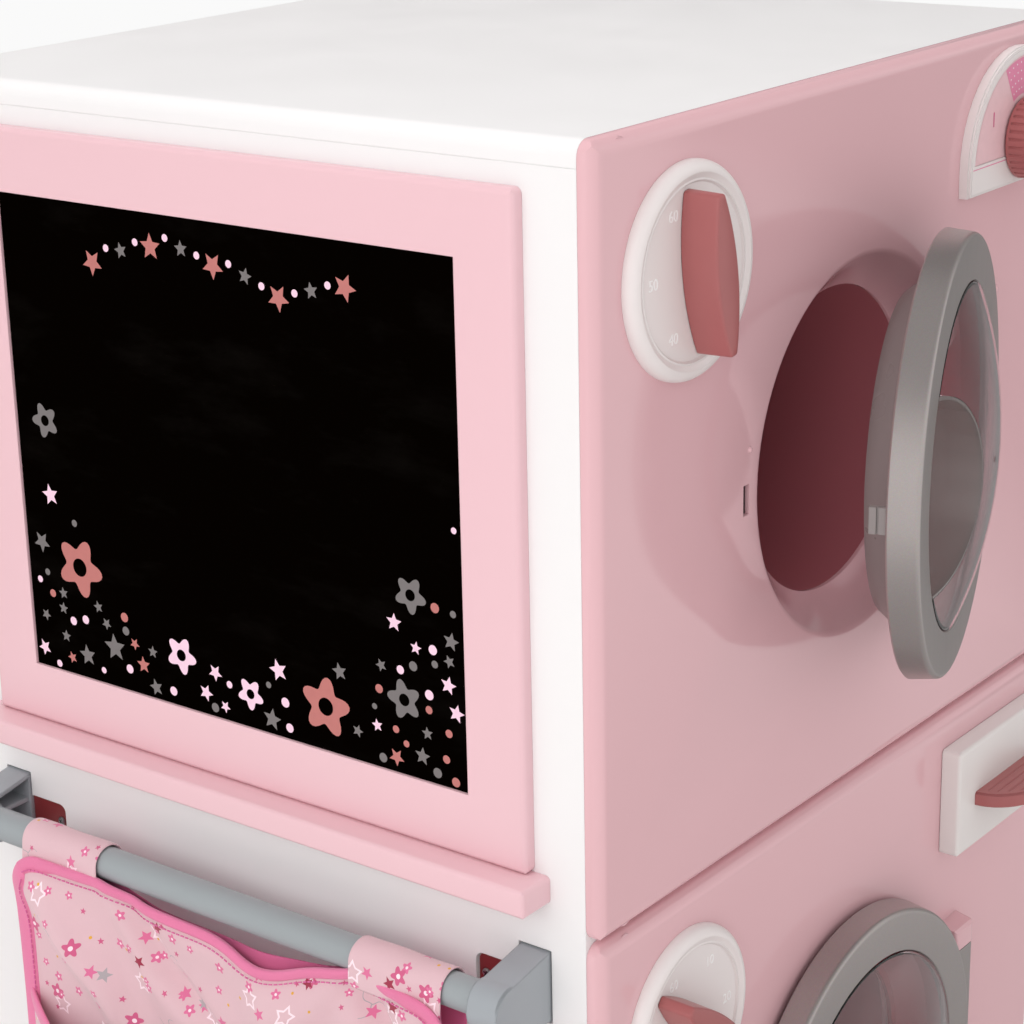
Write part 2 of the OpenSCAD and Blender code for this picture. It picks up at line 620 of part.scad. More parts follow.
module drawer_pull() color(ROSE)
  translate([drawer_x, front - shut_gap - drawer_t, z_low + drawer_z + pull_z]) difference() {
    // half-oval shelf with a softened top edge
    union() {
      for (q = [[0, -pull_t, -pull_soft], [0.3, -pull_soft, -0.5 * pull_soft], [1, -0.5 * pull_soft, 0]])
        translate([0, 0, q[1]]) linear_extrude(q[2] - q[1])
          polygon(half_oval(pull_w / 2 - q[0] * pull_soft, pull_reach - q[0] * pull_soft));
    }
    // hollow for the fingers
    translate([0, 0, -pull_t - e]) linear_extrude(pull_t - 2.5 + e) difference() {
      polygon(half_oval(pull_w / 2 - 3.5, pull_reach - 3.5));
      translate([-pull_w / 2, -2.5]) square([pull_w, 5]);
    }
    // grip grooves in the top, with round ends
    for (i = [1:4]) let (y = -pull_reach * i / 5.5, h = pull_w / 2 * sqrt(1 - pow(i / 5.5, 2)) - 7) {
      translate([-h, y, 0.3]) rotate([0, 90, 0]) cylinder(r = groove_r, h = 2 * h, $fn = 32);
      for (s = [-1, 1]) translate([s * h, y, 0.3]) sphere(r = groove_r, $fn = 16);
    }
  }
function half_oval(a, b) = [for (i = [0:24]) let (t = 180 + 180 * i / 24) [a * cos(t), b * sin(t)]];

// ---- doors ----
lip_t = 3;                                 // thickness of the ring's lip over the window
plug_r = window_r + window_lip;
win_y = ring_front + lip_t;                // front of the window's edge
win_r = window_r - 0.4;                    // dome's foot inside the lip
// places a door drawn shut on its hinge axis, opened by an angle
module hung(zf, open) translate([hinge_x, front - hinge_y, zf + door_z]) rotate([0, 0, open])
  translate([-hinge_x, hinge_y, 0]) children();
module ring() difference() {
  union() {
    turned() polygon(concat([[window_r, ring_front + 0.8], [window_r + 0.8, ring_front]],
      arc(ring_r - ring_fillet, ring_front + ring_fillet, ring_fillet, 270, 360),
      [[ring_r + ring_draft, ring_back - 1], [ring_r + ring_draft - 1, ring_back],
       [plug_r + 0.15, ring_back], [plug_r + 0.15, win_y], [window_r, win_y]]));
    // hinge lug: a block from the ring that is rounded about the hinge axis
    translate([0, 0, -lug_half]) linear_extrude(2 * lug_half) polygon(concat(
      [[hinge_x - 17, -lug_d]],
      [for (a = [-32:8:24]) [hinge_x + lug_r * cos(a), -hinge_y + lug_r * sin(a)]],
      [[hinge_x + lug_r * cos(28) - 1, -hinge_y + lug_r * sin(28)],
       [hinge_x - 17, -hinge_y + lug_r * sin(28)]]));
  }
  translate([hinge_x, -hinge_y, -lug_half - e]) cylinder(r = pin_r + pin_clear, h = 2 * lug_half + 2 * e);
}
module cone() turned() polygon([[plug_r, win_y + window_t + 0.1], [plug_r, ring_back],
  [cone_r, ring_back], [cone_end_r + 1, ring_back + cone_d - 0.6], [cone_end_r, ring_back + cone_d],
  [cone_open_r, ring_back + cone_d], [cone_open_r, ring_back + cone_d - cone_wall],
  [cone_end_r - cone_wall, ring_back + cone_d - cone_wall], [plug_r - cone_wall, ring_back],
  [plug_r - cone_wall, win_y + window_t + 0.1]]);
// inner radius of the back cone at a depth
function cone_in(y) = plug_r - cone_wall
  - max(0, y - ring_back) * (plug_r - cone_end_r) / (cone_d - cone_wall);
function dome_arc(r0, y_top, rr) = let (a = asin(r0 / rr))
  [for (i = [0:16]) let (t = a * (1 - i / 16)) [rr * sin(t), y_top + rr - rr * cos(t)]];
function dome_y(r) = ring_front - dome_h + dome_r - sqrt(dome_r * dome_r - r * r);
module window() difference() {
  turned() polygon(concat([[plug_r - 0.2, win_y], [plug_r - 0.2, win_y + window_t],
    [win_r - window_t, win_y + window_t]],
    dome_arc(win_r - window_t, ring_front - dome_h + window_t, dome_r - window_t),
    [for (i = [16:-1:0]) dome_arc(win_r, ring_front - dome_h, dome_r)[i]],
    [[win_r, win_y]]));
  translate([-scoop_x, 0, 0]) pin_y(scoop_r + 0.3, ring_front - dome_h - e, 0);
}
module scoop() intersection() {
  translate([-scoop_x, 0, 0]) turned() polygon([[scoop_r, ring_front - dome_h],
    [scoop_r, win_y], [scoop_r - 4, ring_front + scoop_d - 6], [scoop_r - 12, ring_front + scoop_d],
    [0, ring_front + scoop_d], [0, ring_front + scoop_d - scoop_wall],
    [scoop_r - 12.8, ring_front + scoop_d - scoop_wall],
    [scoop_r - 4 - scoop_wall, ring_front + scoop_d - 6.8], [scoop_r - scoop_wall, win_y - 0.5],
    [scoop_r - scoop_wall, ring_front - dome_h]]);
  // kept under the dome's surface, inside the ring and clear of the back cone
  y_end = ring_front + scoop_d + 1;
  turned() polygon(concat([[0, y_end], [cone_in(y_end) - 0.3, y_end],
    [cone_in(ring_back) - 0.3, min(ring_back, y_end - 0.5)],
    [cone_in(ring_back) - 0.3, win_y + 0.1], [win_r, win_y + 0.1]],
    dome_arc(win_r, ring_front - dome_h, dome_r)));
}
module latch() difference() {
  translate([-latch_x - latch_w / 2, ring_back, -latch_h / 2]) cube([latch_w, latch_reach, latch_h]);
  // notch behind the hooked tip
  translate([-latch_x - latch_w / 2 - e, ring_back + 4.2, -latch_h / 2 - e])
    cube([e + 1.1, 1.2, latch_h + 2 * e]);
}
module ring_upper() color(GREY) hung(z_up, upper_open) ring();
module cone_upper() color(GREY) hung(z_up, upper_open) cone();
module window_upper() color(CLEAR) hung(z_up, upper_open) window();
module scoop_upper() color(GREY) hung(z_up, upper_open) scoop();
module latch_upper() color(GREY) hung(z_up, upper_open) latch();
module ring_lower() color(GREY) hung(z_low, 0) ring();
module cone_lower() color(GREY) hung(z_low, 0) cone();
module window_lower() color(CLEAR) hung(z_low, 0) window();
module scoop_lower() color(GREY) hung(z_low, 0) scoop();
module latch_lower() color(GREY) hung(z_low, 0) latch();
module hinge_pins() color(STEEL) for (zf = [z_low, z_up]) translate([hinge_x, front - hinge_y,
  zf + door_z - lug_half - knuckle_gap - knuckle_h + 0.5])
  cylinder(r = pin_r, h = 2 * (lug_half + knuckle_gap) + 2 * knuckle_h - knuckle_cap - 1);

// ---- chalkboard ----
board_y = frame_w / 2 - rail_w + board_groove;      // half width of the board in its groove
board_z = frame_z + rail_w - board_groove;          // foot of the board
module board_space(x1) translate([left - frame_t + board_sink, -board_y, board_z])
  cube([x1 - left + frame_t - board_sink, 2 * board_y, frame_h - 2 * rail_w + 2 * board_groove]);
module chalk_frame() color(PALE) difference() {
  side_slab(-frame_w / 2, frame_z, frame_w / 2, frame_z + frame_h, left - frame_t, left, frame_r);
  translate([left - frame_t - e, -frame_w / 2 + rail_w, frame_z + rail_w])
    cube([frame_t + 2 * e, frame_w - 2 * rail_w, frame_h - 2 * rail_w]);
  board_space(left + e);
}
module chalk_panel() color(BLACK) board_space(left);
module chalk_ledge() color(PALE)
  side_slab(-ledge_l / 2, frame_z - ledge_t, ledge_l / 2, frame_z, left - ledge_reach, left, ledge_r);

// ---- rod and brackets ----
nose_x = left - rod_x + 1.5;
bracket_z = rod_z - bracket_drop;
seat_x = left + recess_d - plate_t;        // the bracket's foot on its plate
function tangent(px, pz, q) = let (dx = px - nose_x, dz = pz)
  atan2(dz, dx) + acos((nose_r - q) / sqrt(dx * dx + dz * dz));
function bracket_outline(q = 0, xb = seat_x) = let (a = tangent(xb, bracket_half - q, q))
  concat([[xb, bracket_half - q]], arc(nose_x, 0, nose_r - q, a, 360 - a, 14), [[xb, -bracket_half + q]]);
// s = +1 is the rear bracket, -1 the front one; its closed side faces away from the rod
module bracket(s) {
  y_in = rod_mid + s * rod_span / 2;
  y_out = y_in + s * bracket_t;
  difference() {
    union() {
      difference() {
        translate([0, 0, bracket_z]) along_y(min(y_in, y_out), max(y_in, y_out)) polygon(bracket_outline());
        translate([0, 0, bracket_z]) along_y(min(y_in - s * e, y_out - s * bracket_wall),
          max(y_in - s * e, y_out - s * bracket_wall))
          polygon(bracket_outline(bracket_wall, seat_x - bracket_wall));
      }
      translate([left - rod_x, 0, rod_z]) pin_y(rod_r + 2.4, min(y_in, y_out - s), max(y_in, y_out - s));
      // gusset between the socket and the foot
      translate([left - rod_x, min(y_in + s * 2, y_out - s), rod_z - 1.5])
        cube([rod_x - 1, bracket_t - 3, 3]);
    }
    translate([left - rod_x, 0, rod_z]) pin_y(rod_r + 0.1, min(y_in - s * e, y_in + s * (socket_d + 0.3)),
      max(y_in - s * e, y_in + s * (socket_d + 0.3)));
  }
}
module bracket_front() color(STEEL) bracket(-1);
module bracket_rear() color(STEEL) bracket(1);
module rod() color(STEEL) translate([left - rod_x, 0, rod_z]) difference() {
  pin_y(rod_r, rod_mid - rod_span / 2 - socket_d, rod_mid + rod_span / 2 + socket_d);
  pin_y(rod_r - 1.5, rod_mid - rod_span / 2 - socket_d - e, rod_mid + rod_span / 2 + socket_d + e);
}
module fixing_plates() color(RED) for (s = [-1, 1]) {
  y_in = rod_mid + s * rod_span / 2;
  difference() {
    union() {
      translate([seat_x, min(y_in, y_in + s * bracket_t), bracket_z - bracket_half])
        cube([plate_t, bracket_t, 2 * bracket_half]);
      translate([0, min(y_in + s * 2, y_in - s * plate_l), bracket_z - wing_drop])
        along_x(seat_x, left + recess_d) polygon(rrect(0, -plate_h / 2, plate_l + 2, plate_h / 2, 4));
    }
    translate([seat_x - e, y_in - s * (plate_l - 5), bracket_z - wing_drop])
      rotate([0, 90, 0]) cylinder(r = 1.7, h = plate_t + 2 * e);
  }
}
module plate_screws() color(STEEL) for (s = [-1, 1])
  translate([0, rod_mid + s * (rod_span / 2 - plate_l + 5), bracket_z - wing_drop]) {
    translate([seat_x - 1.4, 0, 0]) rotate([0, 90, 0])
      cylinder(r1 = screw_head_r - 1, r2 = screw_head_r, h = 0.7);
    translate([seat_x - 0.7, 0, 0]) rotate([0, 90, 0]) cylinder(r = screw_head_r, h = 0.7);
    translate([seat_x - 0.2, 0, 0]) rotate([0, 90, 0]) cylinder(r = 1.6, h = 0.2 + plate_t);
  }

// ---- bag ----
bag_y0 = bag_mid - bag_w / 2;
pocket_w = bag_w - 2 * bind_w - 0.4;
pocket_top = hem_z - pocket_drop;
pocket_foot = hem_z - bag_h + bind_w + 0.2;
sag_r = (pocket_w * pocket_w / 4 + pocket_sag * pocket_sag) / (2 * pocket_sag);
module bag_back() color(CLOTH) translate([bag_x - cloth_t, bag_y0 + bind_w, hem_z - bag_h + bind_w])
  cube([cloth_t, bag_w - 2 * bind_w, bag_h - 2 * bind_w]);
// outside of the pocket, drawn in by q
module pocket_form(q, z_foot) intersection() {
  translate([bag_x - cloth_t, bag_mid, z_foot]) linear_extrude(pocket_top - z_foot + e)
    polygon(concat([for (i = [0:28]) let (t = 180 * i / 28)
      [-(bag_bulge - q) * pow(sin(t), 0.7), (pocket_w / 2 - q) * cos(t)]],
      [[q > 0 ? 1 : 0, -pocket_w / 2 + q], [q > 0 ? 1 : 0, pocket_w / 2 - q]]));
  // side view: narrow foot, fullest below the middle, drawn in a little at the mouth
  along_y(bag_y0, bag_y0 + bag_w) polygon(concat([for (i = [0:12]) let (t = i / 12)
    [bag_x - cloth_t - (bag_bulge - q) * (0.45 + 0.55 * sin(180 * pow(t, 0.6) * 0.78) - 0.08 * t),
     pocket_foot + t * (pocket_top + 2 * e - pocket_foot)]],
    [[bag_x + 2, pocket_top + 2 * e], [bag_x + 2, pocket_foot]]));
}
// space above the pocket's sagging mouth, lowered by d
module above_mouth(d) translate([bag_x - 1.3 * bag_bulge, bag_mid, pocket_top - pocket_sag + sag_r - d])
  rotate([0, 90, 0]) cylinder(r = sag_r, h = 1.3 * bag_bulge - cloth_t, $fn = 200);
module bag_pocket() color(CLOTH) difference() {
  pocket_form(0, pocket_foot);
  pocket_form(cloth_t, pocket_foot + cloth_t);
  above_mouth(bind_w);
}
loop_in = rod_r + loop_gap;                // a loop's inner and outer half widths
loop_out = loop_in + cloth_t;
module bag_loops() color(CLOTH) for (y = [bag_mid - loop_y, bag_mid + loop_y])
  translate([left - rod_x, 0, rod_z]) along_y(y - loop_w / 2, y + loop_w / 2)
    difference() {
      union() {
        circle(r = loop_out);
        translate([-loop_out, -rod_r - loop_tail]) square([2 * loop_out, rod_r + loop_tail]);
      }
      circle(r = loop_in);
      // the tail runs slanting from the rod's back to the panel
      polygon([[-loop_in, 0], [loop_in, 0], [loop_in, -rod_r],
        [-loop_in, cloth_t + 4.4 - rod_r - loop_tail]]);
      polygon([[loop_out + 1, -rod_r - 0.6], [loop_out + 1, -rod_r - loop_tail - 4],
        [-loop_in, -rod_r - loop_tail - 4], [-loop_in, 4.2 - rod_r - loop_tail], [loop_out, -rod_r - 0.6]]);
    }
module bag_binding() color(HOT) {
  along_x(bag_x - bind_t, bag_x) difference() {
    polygon(rrect(bag_y0, hem_z - bag_h, bag_y0 + bag_w, hem_z, 8));
    translate([bag_y0 + bind_w, hem_z - bag_h + bind_w]) square([bag_w - 2 * bind_w, bag_h - 2 * bind_w]);
  }
  intersection() {
    difference() {
      pocket_form(0, pocket_foot);
      pocket_form(bind_t, pocket_foot + cloth_t);
      above_mouth(0);
    }
    above_mouth(bind_w);
  }
}

side_left();
side_right();
top_board();
base_board();
middle_shelf();
back_board();
toe_board();
glides();
shell_upper();
shell_lower();
drum_upper();
drum_lower();
dial_upper();
dial_lower();
timer_knob_upper();
timer_knob_lower();
timer_clip_upper();
timer_clip_lower();
heat_plate();
heat_card();
heat_knob();
heat_clip();
drawer_front();
drawer_tray();
drawer_pull();
drawer_guide();
ring_upper();
cone_upper();
window_upper();
scoop_upper();
latch_upper();
ring_lower();
cone_lower();
window_lower();
scoop_lower();
latch_lower();
hinge_pins();
chalk_frame();
chalk_panel();
chalk_ledge();
rod();
bracket_front();
bracket_rear();
fixing_plates();
plate_screws();
bag_back();
bag_pocket();
bag_loops();
bag_binding();
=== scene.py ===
"""Looks for the toy laundry tower: finishes, prints, cloth bag, stage, lamps and camera.

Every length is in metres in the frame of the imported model: floor at z = 0, doors towards -Y,
chalkboard and bag on the -X side.
"""

import json
import random
from math import asin, cos, hypot, pi, radians, sin, sqrt

import bmesh
import bpy
import numpy as np
from mathutils import Matrix, Vector


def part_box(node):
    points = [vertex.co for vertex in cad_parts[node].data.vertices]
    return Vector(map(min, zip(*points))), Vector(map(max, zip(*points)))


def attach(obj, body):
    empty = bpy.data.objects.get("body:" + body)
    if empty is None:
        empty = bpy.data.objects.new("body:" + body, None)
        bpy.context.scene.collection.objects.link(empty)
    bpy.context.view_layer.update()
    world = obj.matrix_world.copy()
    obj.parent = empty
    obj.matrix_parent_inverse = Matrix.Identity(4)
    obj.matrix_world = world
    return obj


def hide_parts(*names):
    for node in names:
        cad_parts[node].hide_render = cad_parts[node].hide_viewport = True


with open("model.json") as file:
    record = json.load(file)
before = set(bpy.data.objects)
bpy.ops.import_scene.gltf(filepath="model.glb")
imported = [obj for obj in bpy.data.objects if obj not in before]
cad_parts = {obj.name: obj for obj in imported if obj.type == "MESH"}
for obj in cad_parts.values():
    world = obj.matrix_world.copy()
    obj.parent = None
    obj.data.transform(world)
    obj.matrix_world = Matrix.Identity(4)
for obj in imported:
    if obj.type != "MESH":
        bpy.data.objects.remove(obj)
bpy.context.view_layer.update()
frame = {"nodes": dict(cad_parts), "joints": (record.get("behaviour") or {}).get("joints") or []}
nodes = frame["nodes"]
joints = {j["name"]: j for j in frame["joints"]}
MM = 0.001


# ---- helpers
def rgb(red, green, blue):
    """Linear colour from 0-255 sRGB values."""
    def lin(v):
        v /= 255
        return v / 12.92 if v <= 0.04045 else ((v + 0.055) / 1.055) ** 2.4
    return (lin(red), lin(green), lin(blue), 1.0)


class Graph:
    """A material, or a world, under construction.

    Inputs are constants or sockets; i0, i1 ... name them by place.
    """

    def __init__(self, name, world=False):
        self.mat = (bpy.data.worlds if world else bpy.data.materials).new(name)
        self.mat.use_nodes = True
        self.tree = self.mat.node_tree
        self.tree.nodes.clear()
        self.out = self.tree.nodes.new("ShaderNodeOutputWorld" if world else "ShaderNodeOutputMaterial")

    def add(self, kind, settings=None, **inputs):
        node = self.tree.nodes.new("ShaderNode" + kind)
        for key, value in (settings or {}).items():
            setattr(node, key, value)
        for key, value in inputs.items():
            place = int(key[1:]) if key[0] == "i" and key[1:].isdigit() else key.replace("_", " ")
            self.put(node.inputs[place], value)
        return node

    def put(self, socket, value):
        if isinstance(value, bpy.types.NodeSocket):
            self.tree.links.new(value, socket)
        else:
            socket.default_value = value

    def math(self, operation, *values, clamp=False):
        inputs = {f"i{k}": v for k, v in enumerate(values)}
        return self.add("Math", {"operation": operation, "use_clamp": clamp}, **inputs).outputs[0]

    def times(self, value, *factors):
        for factor in factors:
            value = self.math("MULTIPLY", value, factor)
        return value

    def vec(self, operation, *values):
        inputs = {f"i{k}": v for k, v in enumerate(values)}
        node = self.add("VectorMath", {"operation": operation}, **inputs)
        return node.outputs["Value" if operation in ("LENGTH", "DOT_PRODUCT") else "Vector"]

    def mix(self, factor, a, b):
        """Mixes two colours."""
        return self.add("Mix", {"data_type": "RGBA"}, i0=factor, i6=a, i7=b).outputs[2]

    def blend(self, factor, first, second):
        """Mixes two shaders."""
        return self.add("MixShader", i0=factor, i1=first.outputs[0], i2=second.outputs[0])

    def spread(self, value, low, high):
        """Maps 0..1 to low..high."""
        return self.add("MapRange", Value=value, To_Min=low, To_Max=high).outputs[0]

    def ease(self, value, start, end, low, high):
        """Goes smoothly from low to high while the value goes from start to end."""
        return self.add("MapRange", {"interpolation_type": "SMOOTHSTEP"}, Value=value, From_Min=start,
                        From_Max=end, To_Min=low, To_Max=high).outputs[0]

    def bump(self, height, strength, distance, **inputs):
        node = self.add("Bump", Strength=strength, Distance=distance, Height=height, **inputs)
        return node.outputs[0]

    def soft_edge(self, radius):
        """A normal that rounds the edges by the radius."""
        return self.add("Bevel", {"samples": 4}, Radius=radius).outputs[0]

    def place(self, kind="Object"):
        return self.add("TexCoord").outputs[kind]

    def noise(self, vector, scale, detail=3.0, rough=0.5):
        node = self.add("TexNoise", Vector=vector, Scale=scale, Detail=detail, Roughness=rough)
        return node.outputs["Fac"]

    def surface(self, shader):
        """Ends the graph with this shader's node."""
        self.tree.links.new(shader.outputs[0], self.out.inputs["Surface"])
        return self.mat

    def principled(self, **inputs):
        """Ends the graph with a principled shader."""
        return self.surface(self.add("BsdfPrincipled", **inputs))


def shade(colour, factor):
    return tuple(min(1.0, c * factor) for c in rgb(*colour)[:3]) + (1.0,)


def varied(g, colour, vector, scale=9.0, amount=0.05):
    """The colour (0-255), a little lighter and darker from place to place."""
    return g.mix(g.noise(vector, scale, 4.0), shade(colour, 1 - amount), shade(colour, 1 + amount))


FLOW = 22.0  # moulding marks to a metre, for the noise of plastics


def plastic(name, colour, rough=0.3, grain=0.06, edge=0.8 * MM, scale=9.0, amount=0.04):
    """Moulded plastic: fine grain, faint flow marks in colour and gloss, softened edges."""
    g = Graph(name)
    here = g.place()
    flow = g.noise(here, FLOW, 3.0, 0.6)
    return g.principled(
        Base_Color=varied(g, colour, here, scale, amount),
        Roughness=g.spread(flow, max(0.02, rough - 0.02), rough + 0.02),
        Normal=g.bump(g.noise(here, 1400.0, 2.0), grain, 0.12 * MM, Normal=g.soft_edge(edge)))


def painted_board(name, colour, rough=0.38):
    """Coated fibreboard: orange-peel film, soft edges, faint handling marks in the gloss."""
    g = Graph(name)
    here = g.place()
    peel = g.noise(here, 420.0, 2.0)
    marks = g.noise(here, 14.0, 6.0, 0.7)
    return g.principled(
        Base_Color=varied(g, colour, here, 3.0, 0.02),
        Roughness=g.spread(marks, rough - 0.08, rough + 0.10),
        Normal=g.bump(peel, 0.10, 0.10 * MM, Normal=g.soft_edge(0.9 * MM)))


def pearl(name, colour):
    """Silver-grey metallic plastic of the door rings, with fine flakes and drawn-out flow lines."""
    g = Graph(name)
    here = g.place()
    flakes = g.add("TexVoronoi", Vector=here, Scale=2600.0).outputs["Color"]
    lines = g.noise(g.vec("MULTIPLY", here, (30.0, 400.0, 30.0)), 1.0, 2.0)
    return g.principled(
        Base_Color=g.mix(0.06, varied(g, colour, here, 16.0, 0.06), flakes), Metallic=0.75,
        Roughness=g.spread(lines, 0.30, 0.38),
        Normal=g.bump(lines, 0.05, 0.1 * MM, Normal=g.soft_edge(0.6 * MM)))


def clear(name, colour, rough=0.015, through=1.0):
    """Clear moulded plastic. Shadow rays pass, so that the light falls through the window."""
    g = Graph(name)
    ripple = g.bump(g.noise(g.place(), 28.0, 2.0), 0.04, 0.4 * MM)
    glassy = g.add("BsdfPrincipled", Base_Color=rgb(*colour), Roughness=rough, IOR=1.47,
                   Specular_IOR_Level=0.2, Transmission_Weight=through, Normal=ripple)
    passing = g.add("BsdfTransparent", Color=rgb(246, 236, 238))
    return g.surface(g.blend(g.add("LightPath").outputs["Is Shadow Ray"], glassy, passing))


def door_funnel(name, unit, opened):
    """Grey plastic outside, polished dark rose inside. The sides are told apart about the door's axis."""
    g = Graph(name)
    here = g.place()
    lo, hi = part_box(f"ring_{unit}")
    lean = radians(opened)
    axis = (sin(lean), -cos(lean), 0.0)
    offset = g.vec("SUBTRACT", here, tuple((lo + hi) / 2))
    lift = g.times(g.vec("DOT_PRODUCT", offset, axis), -1.0)
    radial = g.vec("ADD", offset, g.vec("SCALE", axis, (0, 0, 0), (0, 0, 0), lift))
    facing = g.add("NewGeometry").outputs["True Normal"]
    to_object = {"vector_type": "NORMAL", "convert_from": "WORLD", "convert_to": "OBJECT"}
    normal = g.add("VectorTransform", to_object, Vector=facing).outputs[0]
    inward = g.math("LESS_THAN", g.vec("DOT_PRODUCT", g.vec("NORMALIZE", radial), normal), 0.25)
    flow = g.noise(here, FLOW, 3.0, 0.6)
    outside = g.add("BsdfPrincipled", Base_Color=varied(g, (126, 117, 116), here, 12.0, 0.04),
                    Roughness=g.spread(flow, 0.24, 0.34),
                    Normal=g.bump(g.noise(here, 900.0, 2.0), 0.04, 0.1 * MM))
    lining = g.add("BsdfPrincipled", Base_Color=varied(g, (150, 52, 66), here, 12.0, 0.05),
                   Roughness=g.spread(flow, 0.10, 0.16))
    return g.surface(g.blend(inward, outside, lining))


def steel(name, colour):
    """Plated steel with fine wear."""
    g = Graph(name)
    here = g.place()
    wear = g.noise(here, 700.0, 3.0)
    return g.principled(
        Base_Color=varied(g, colour, here, 300.0, 0.12), Metallic=1.0,
        Roughness=g.spread(wear, 0.22, 0.42),
        Normal=g.bump(wear, 0.10, 0.05 * MM))


def chalk_black(name):
    """Chalk surface: near black, dry, with the faint dust that wiping leaves."""
    g = Graph(name)
    here = g.place()
    wiped = g.noise(g.vec("MULTIPLY", here, (1.0, 5.0, 14.0)), 2.2, 6.0, 0.65)
    dust = g.times(g.math("SUBTRACT", wiped, 0.52, clamp=True), 0.03)
    return g.principled(
        Base_Color=g.mix(dust, rgb(4, 2, 1), rgb(150, 146, 142)),
        Roughness=g.spread(wiped, 0.5, 0.65), Specular_IOR_Level=0.0,
        Normal=g.bump(g.noise(here, 2200.0, 2.0), 0.2, 0.05 * MM))


def ink(name, colour, rough=0.4):
    """Screen print: a thin even film with slight mottling."""
    g = Graph(name)
    return g.principled(Base_Color=varied(g, colour, g.place(), 160.0, 0.07), Roughness=rough)


# ---- printed cloth
WEAVE_PITCH = 0.55 * MM
PRINT_SOFT = 0.12 * MM  # width of a print's blurred edge


def scattered(g, uv, scale, seed):
    """A jittered grid of cells: radius and angle about a cell's middle, and its three random numbers."""
    moved = g.vec("ADD", uv, (seed * 0.137, seed * 0.071, 0.0))
    node = g.add("TexVoronoi", {"voronoi_dimensions": "2D"}, Vector=moved, Scale=scale, Randomness=0.62)
    local = g.vec("SUBTRACT", moved, node.outputs["Position"])
    rand = g.add("SeparateColor", Color=node.outputs["Color"]).outputs
    xyz = g.add("SeparateXYZ", Vector=local)
    angle = g.math("ARCTAN2", xyz.outputs[1], xyz.outputs[0])
    return g.vec("LENGTH", local), g.math("ADD", angle, g.times(rand[0], 2 * pi)), rand


def fold(g, angle, points):
    """Angle folded into one half point, 0 .. pi / points."""
    step = 2 * pi / points
    turns = g.math("DIVIDE", angle, step)
    return g.times(g.math("ABSOLUTE", g.math("SUBTRACT", turns, g.math("ROUND", turns))), step)


def star_edge(g, angle, radius, depth=0.45):
    """Outline radius of a five-pointed star."""
    half = pi / 5
    t = fold(g, angle, 5)
    bottom = g.math("ADD", g.times(g.math("COSINE", t), depth * sin(half)),
                    g.times(g.math("SINE", t), 1 - depth * cos(half)))
    return g.math("DIVIDE", radius * depth * sin(half), bottom)


def petal_edge(g, angle, radius, deep=0.42):
    """Outline radius of a five-petalled blossom."""
    t = fold(g, angle, 5)
    return g.times(radius, g.math("SUBTRACT", 1.0,
                  g.times(deep, g.math("POWER", g.math("SINE", g.times(t, 2.5)), 2.0))))


def inside(g, radius, edge):
    """1 inside the outline, 0 outside."""
    return g.math("DIVIDE", g.math("SUBTRACT", edge, radius), PRINT_SOFT, clamp=True)


def stamp(g, colour, shape, rand, limit, paint):
    """Paints the shape in those cells whose random number is over the limit."""
    return g.mix(g.times(shape, g.math("GREATER_THAN", rand, limit)), colour, paint)


def cloth(name, ground, printed=True, weave=0.45):
    """Woven cotton from a UV map in metres: threads, faint slubs, soft fuzz, and a small scattered print."""
    g = Graph(name)
    uv = g.add("UVMap", {"uv_map": "cloth"}).outputs[0]
    xyz = g.add("SeparateXYZ", Vector=uv)
    warp, weft = (g.math("ABSOLUTE", g.math("SINE", g.times(xyz.outputs[k], pi / WEAVE_PITCH)))
                  for k in (0, 1))
    threads = g.times(g.math("ADD", warp, weft), 0.5)
    slub, slub2 = (g.noise(g.vec("MULTIPLY", uv, stretch), 1.0, 2.0)
                   for stretch in ((260.0, 2600.0, 1.0), (2600.0, 260.0, 1.0)))
    tone = g.times(g.math("ADD", slub, slub2), 0.5)
    colour = g.mix(g.spread(tone, 0.0, 0.55), shade(ground, 1.06), shade(ground, 0.88))
    if printed:
        colour = printed_on(g, uv, colour)
    height = g.math("ADD", g.times(threads, 0.7), g.times(tone, 0.5))
    return g.principled(
        Base_Color=colour, Roughness=0.85, Sheen_Weight=0.25, Sheen_Roughness=0.5,
        Normal=g.bump(height, weave, 0.16 * MM))


PRINT_HOT, PRINT_ROSE, PRINT_DEEP = rgb(222, 112, 154), rgb(208, 92, 134), rgb(160, 40, 70)
PRINT_GREY, PRINT_AMBER, PRINT_PALE = rgb(176, 166, 170), rgb(226, 168, 52), rgb(250, 226, 234)
# cells to a metre, radius in mm, seed, limit, paint
CLOTH_BLOSSOMS = ((46.0, 3.6, 2, 0.66, PRINT_HOT), (24.0, 5.6, 13, 0.70, PRINT_ROSE),
                  (52.0, 2.9, 17, 0.74, PRINT_HOT))
CLOTH_STARS = ((38.0, 4.4, 3, 0.66, PRINT_HOT), (30.0, 4.6, 7, 0.78, PRINT_GREY),
               (32.0, 4.6, 23, 0.86, PRINT_DEEP), (64.0, 2.3, 29, 0.80, PRINT_ROSE))


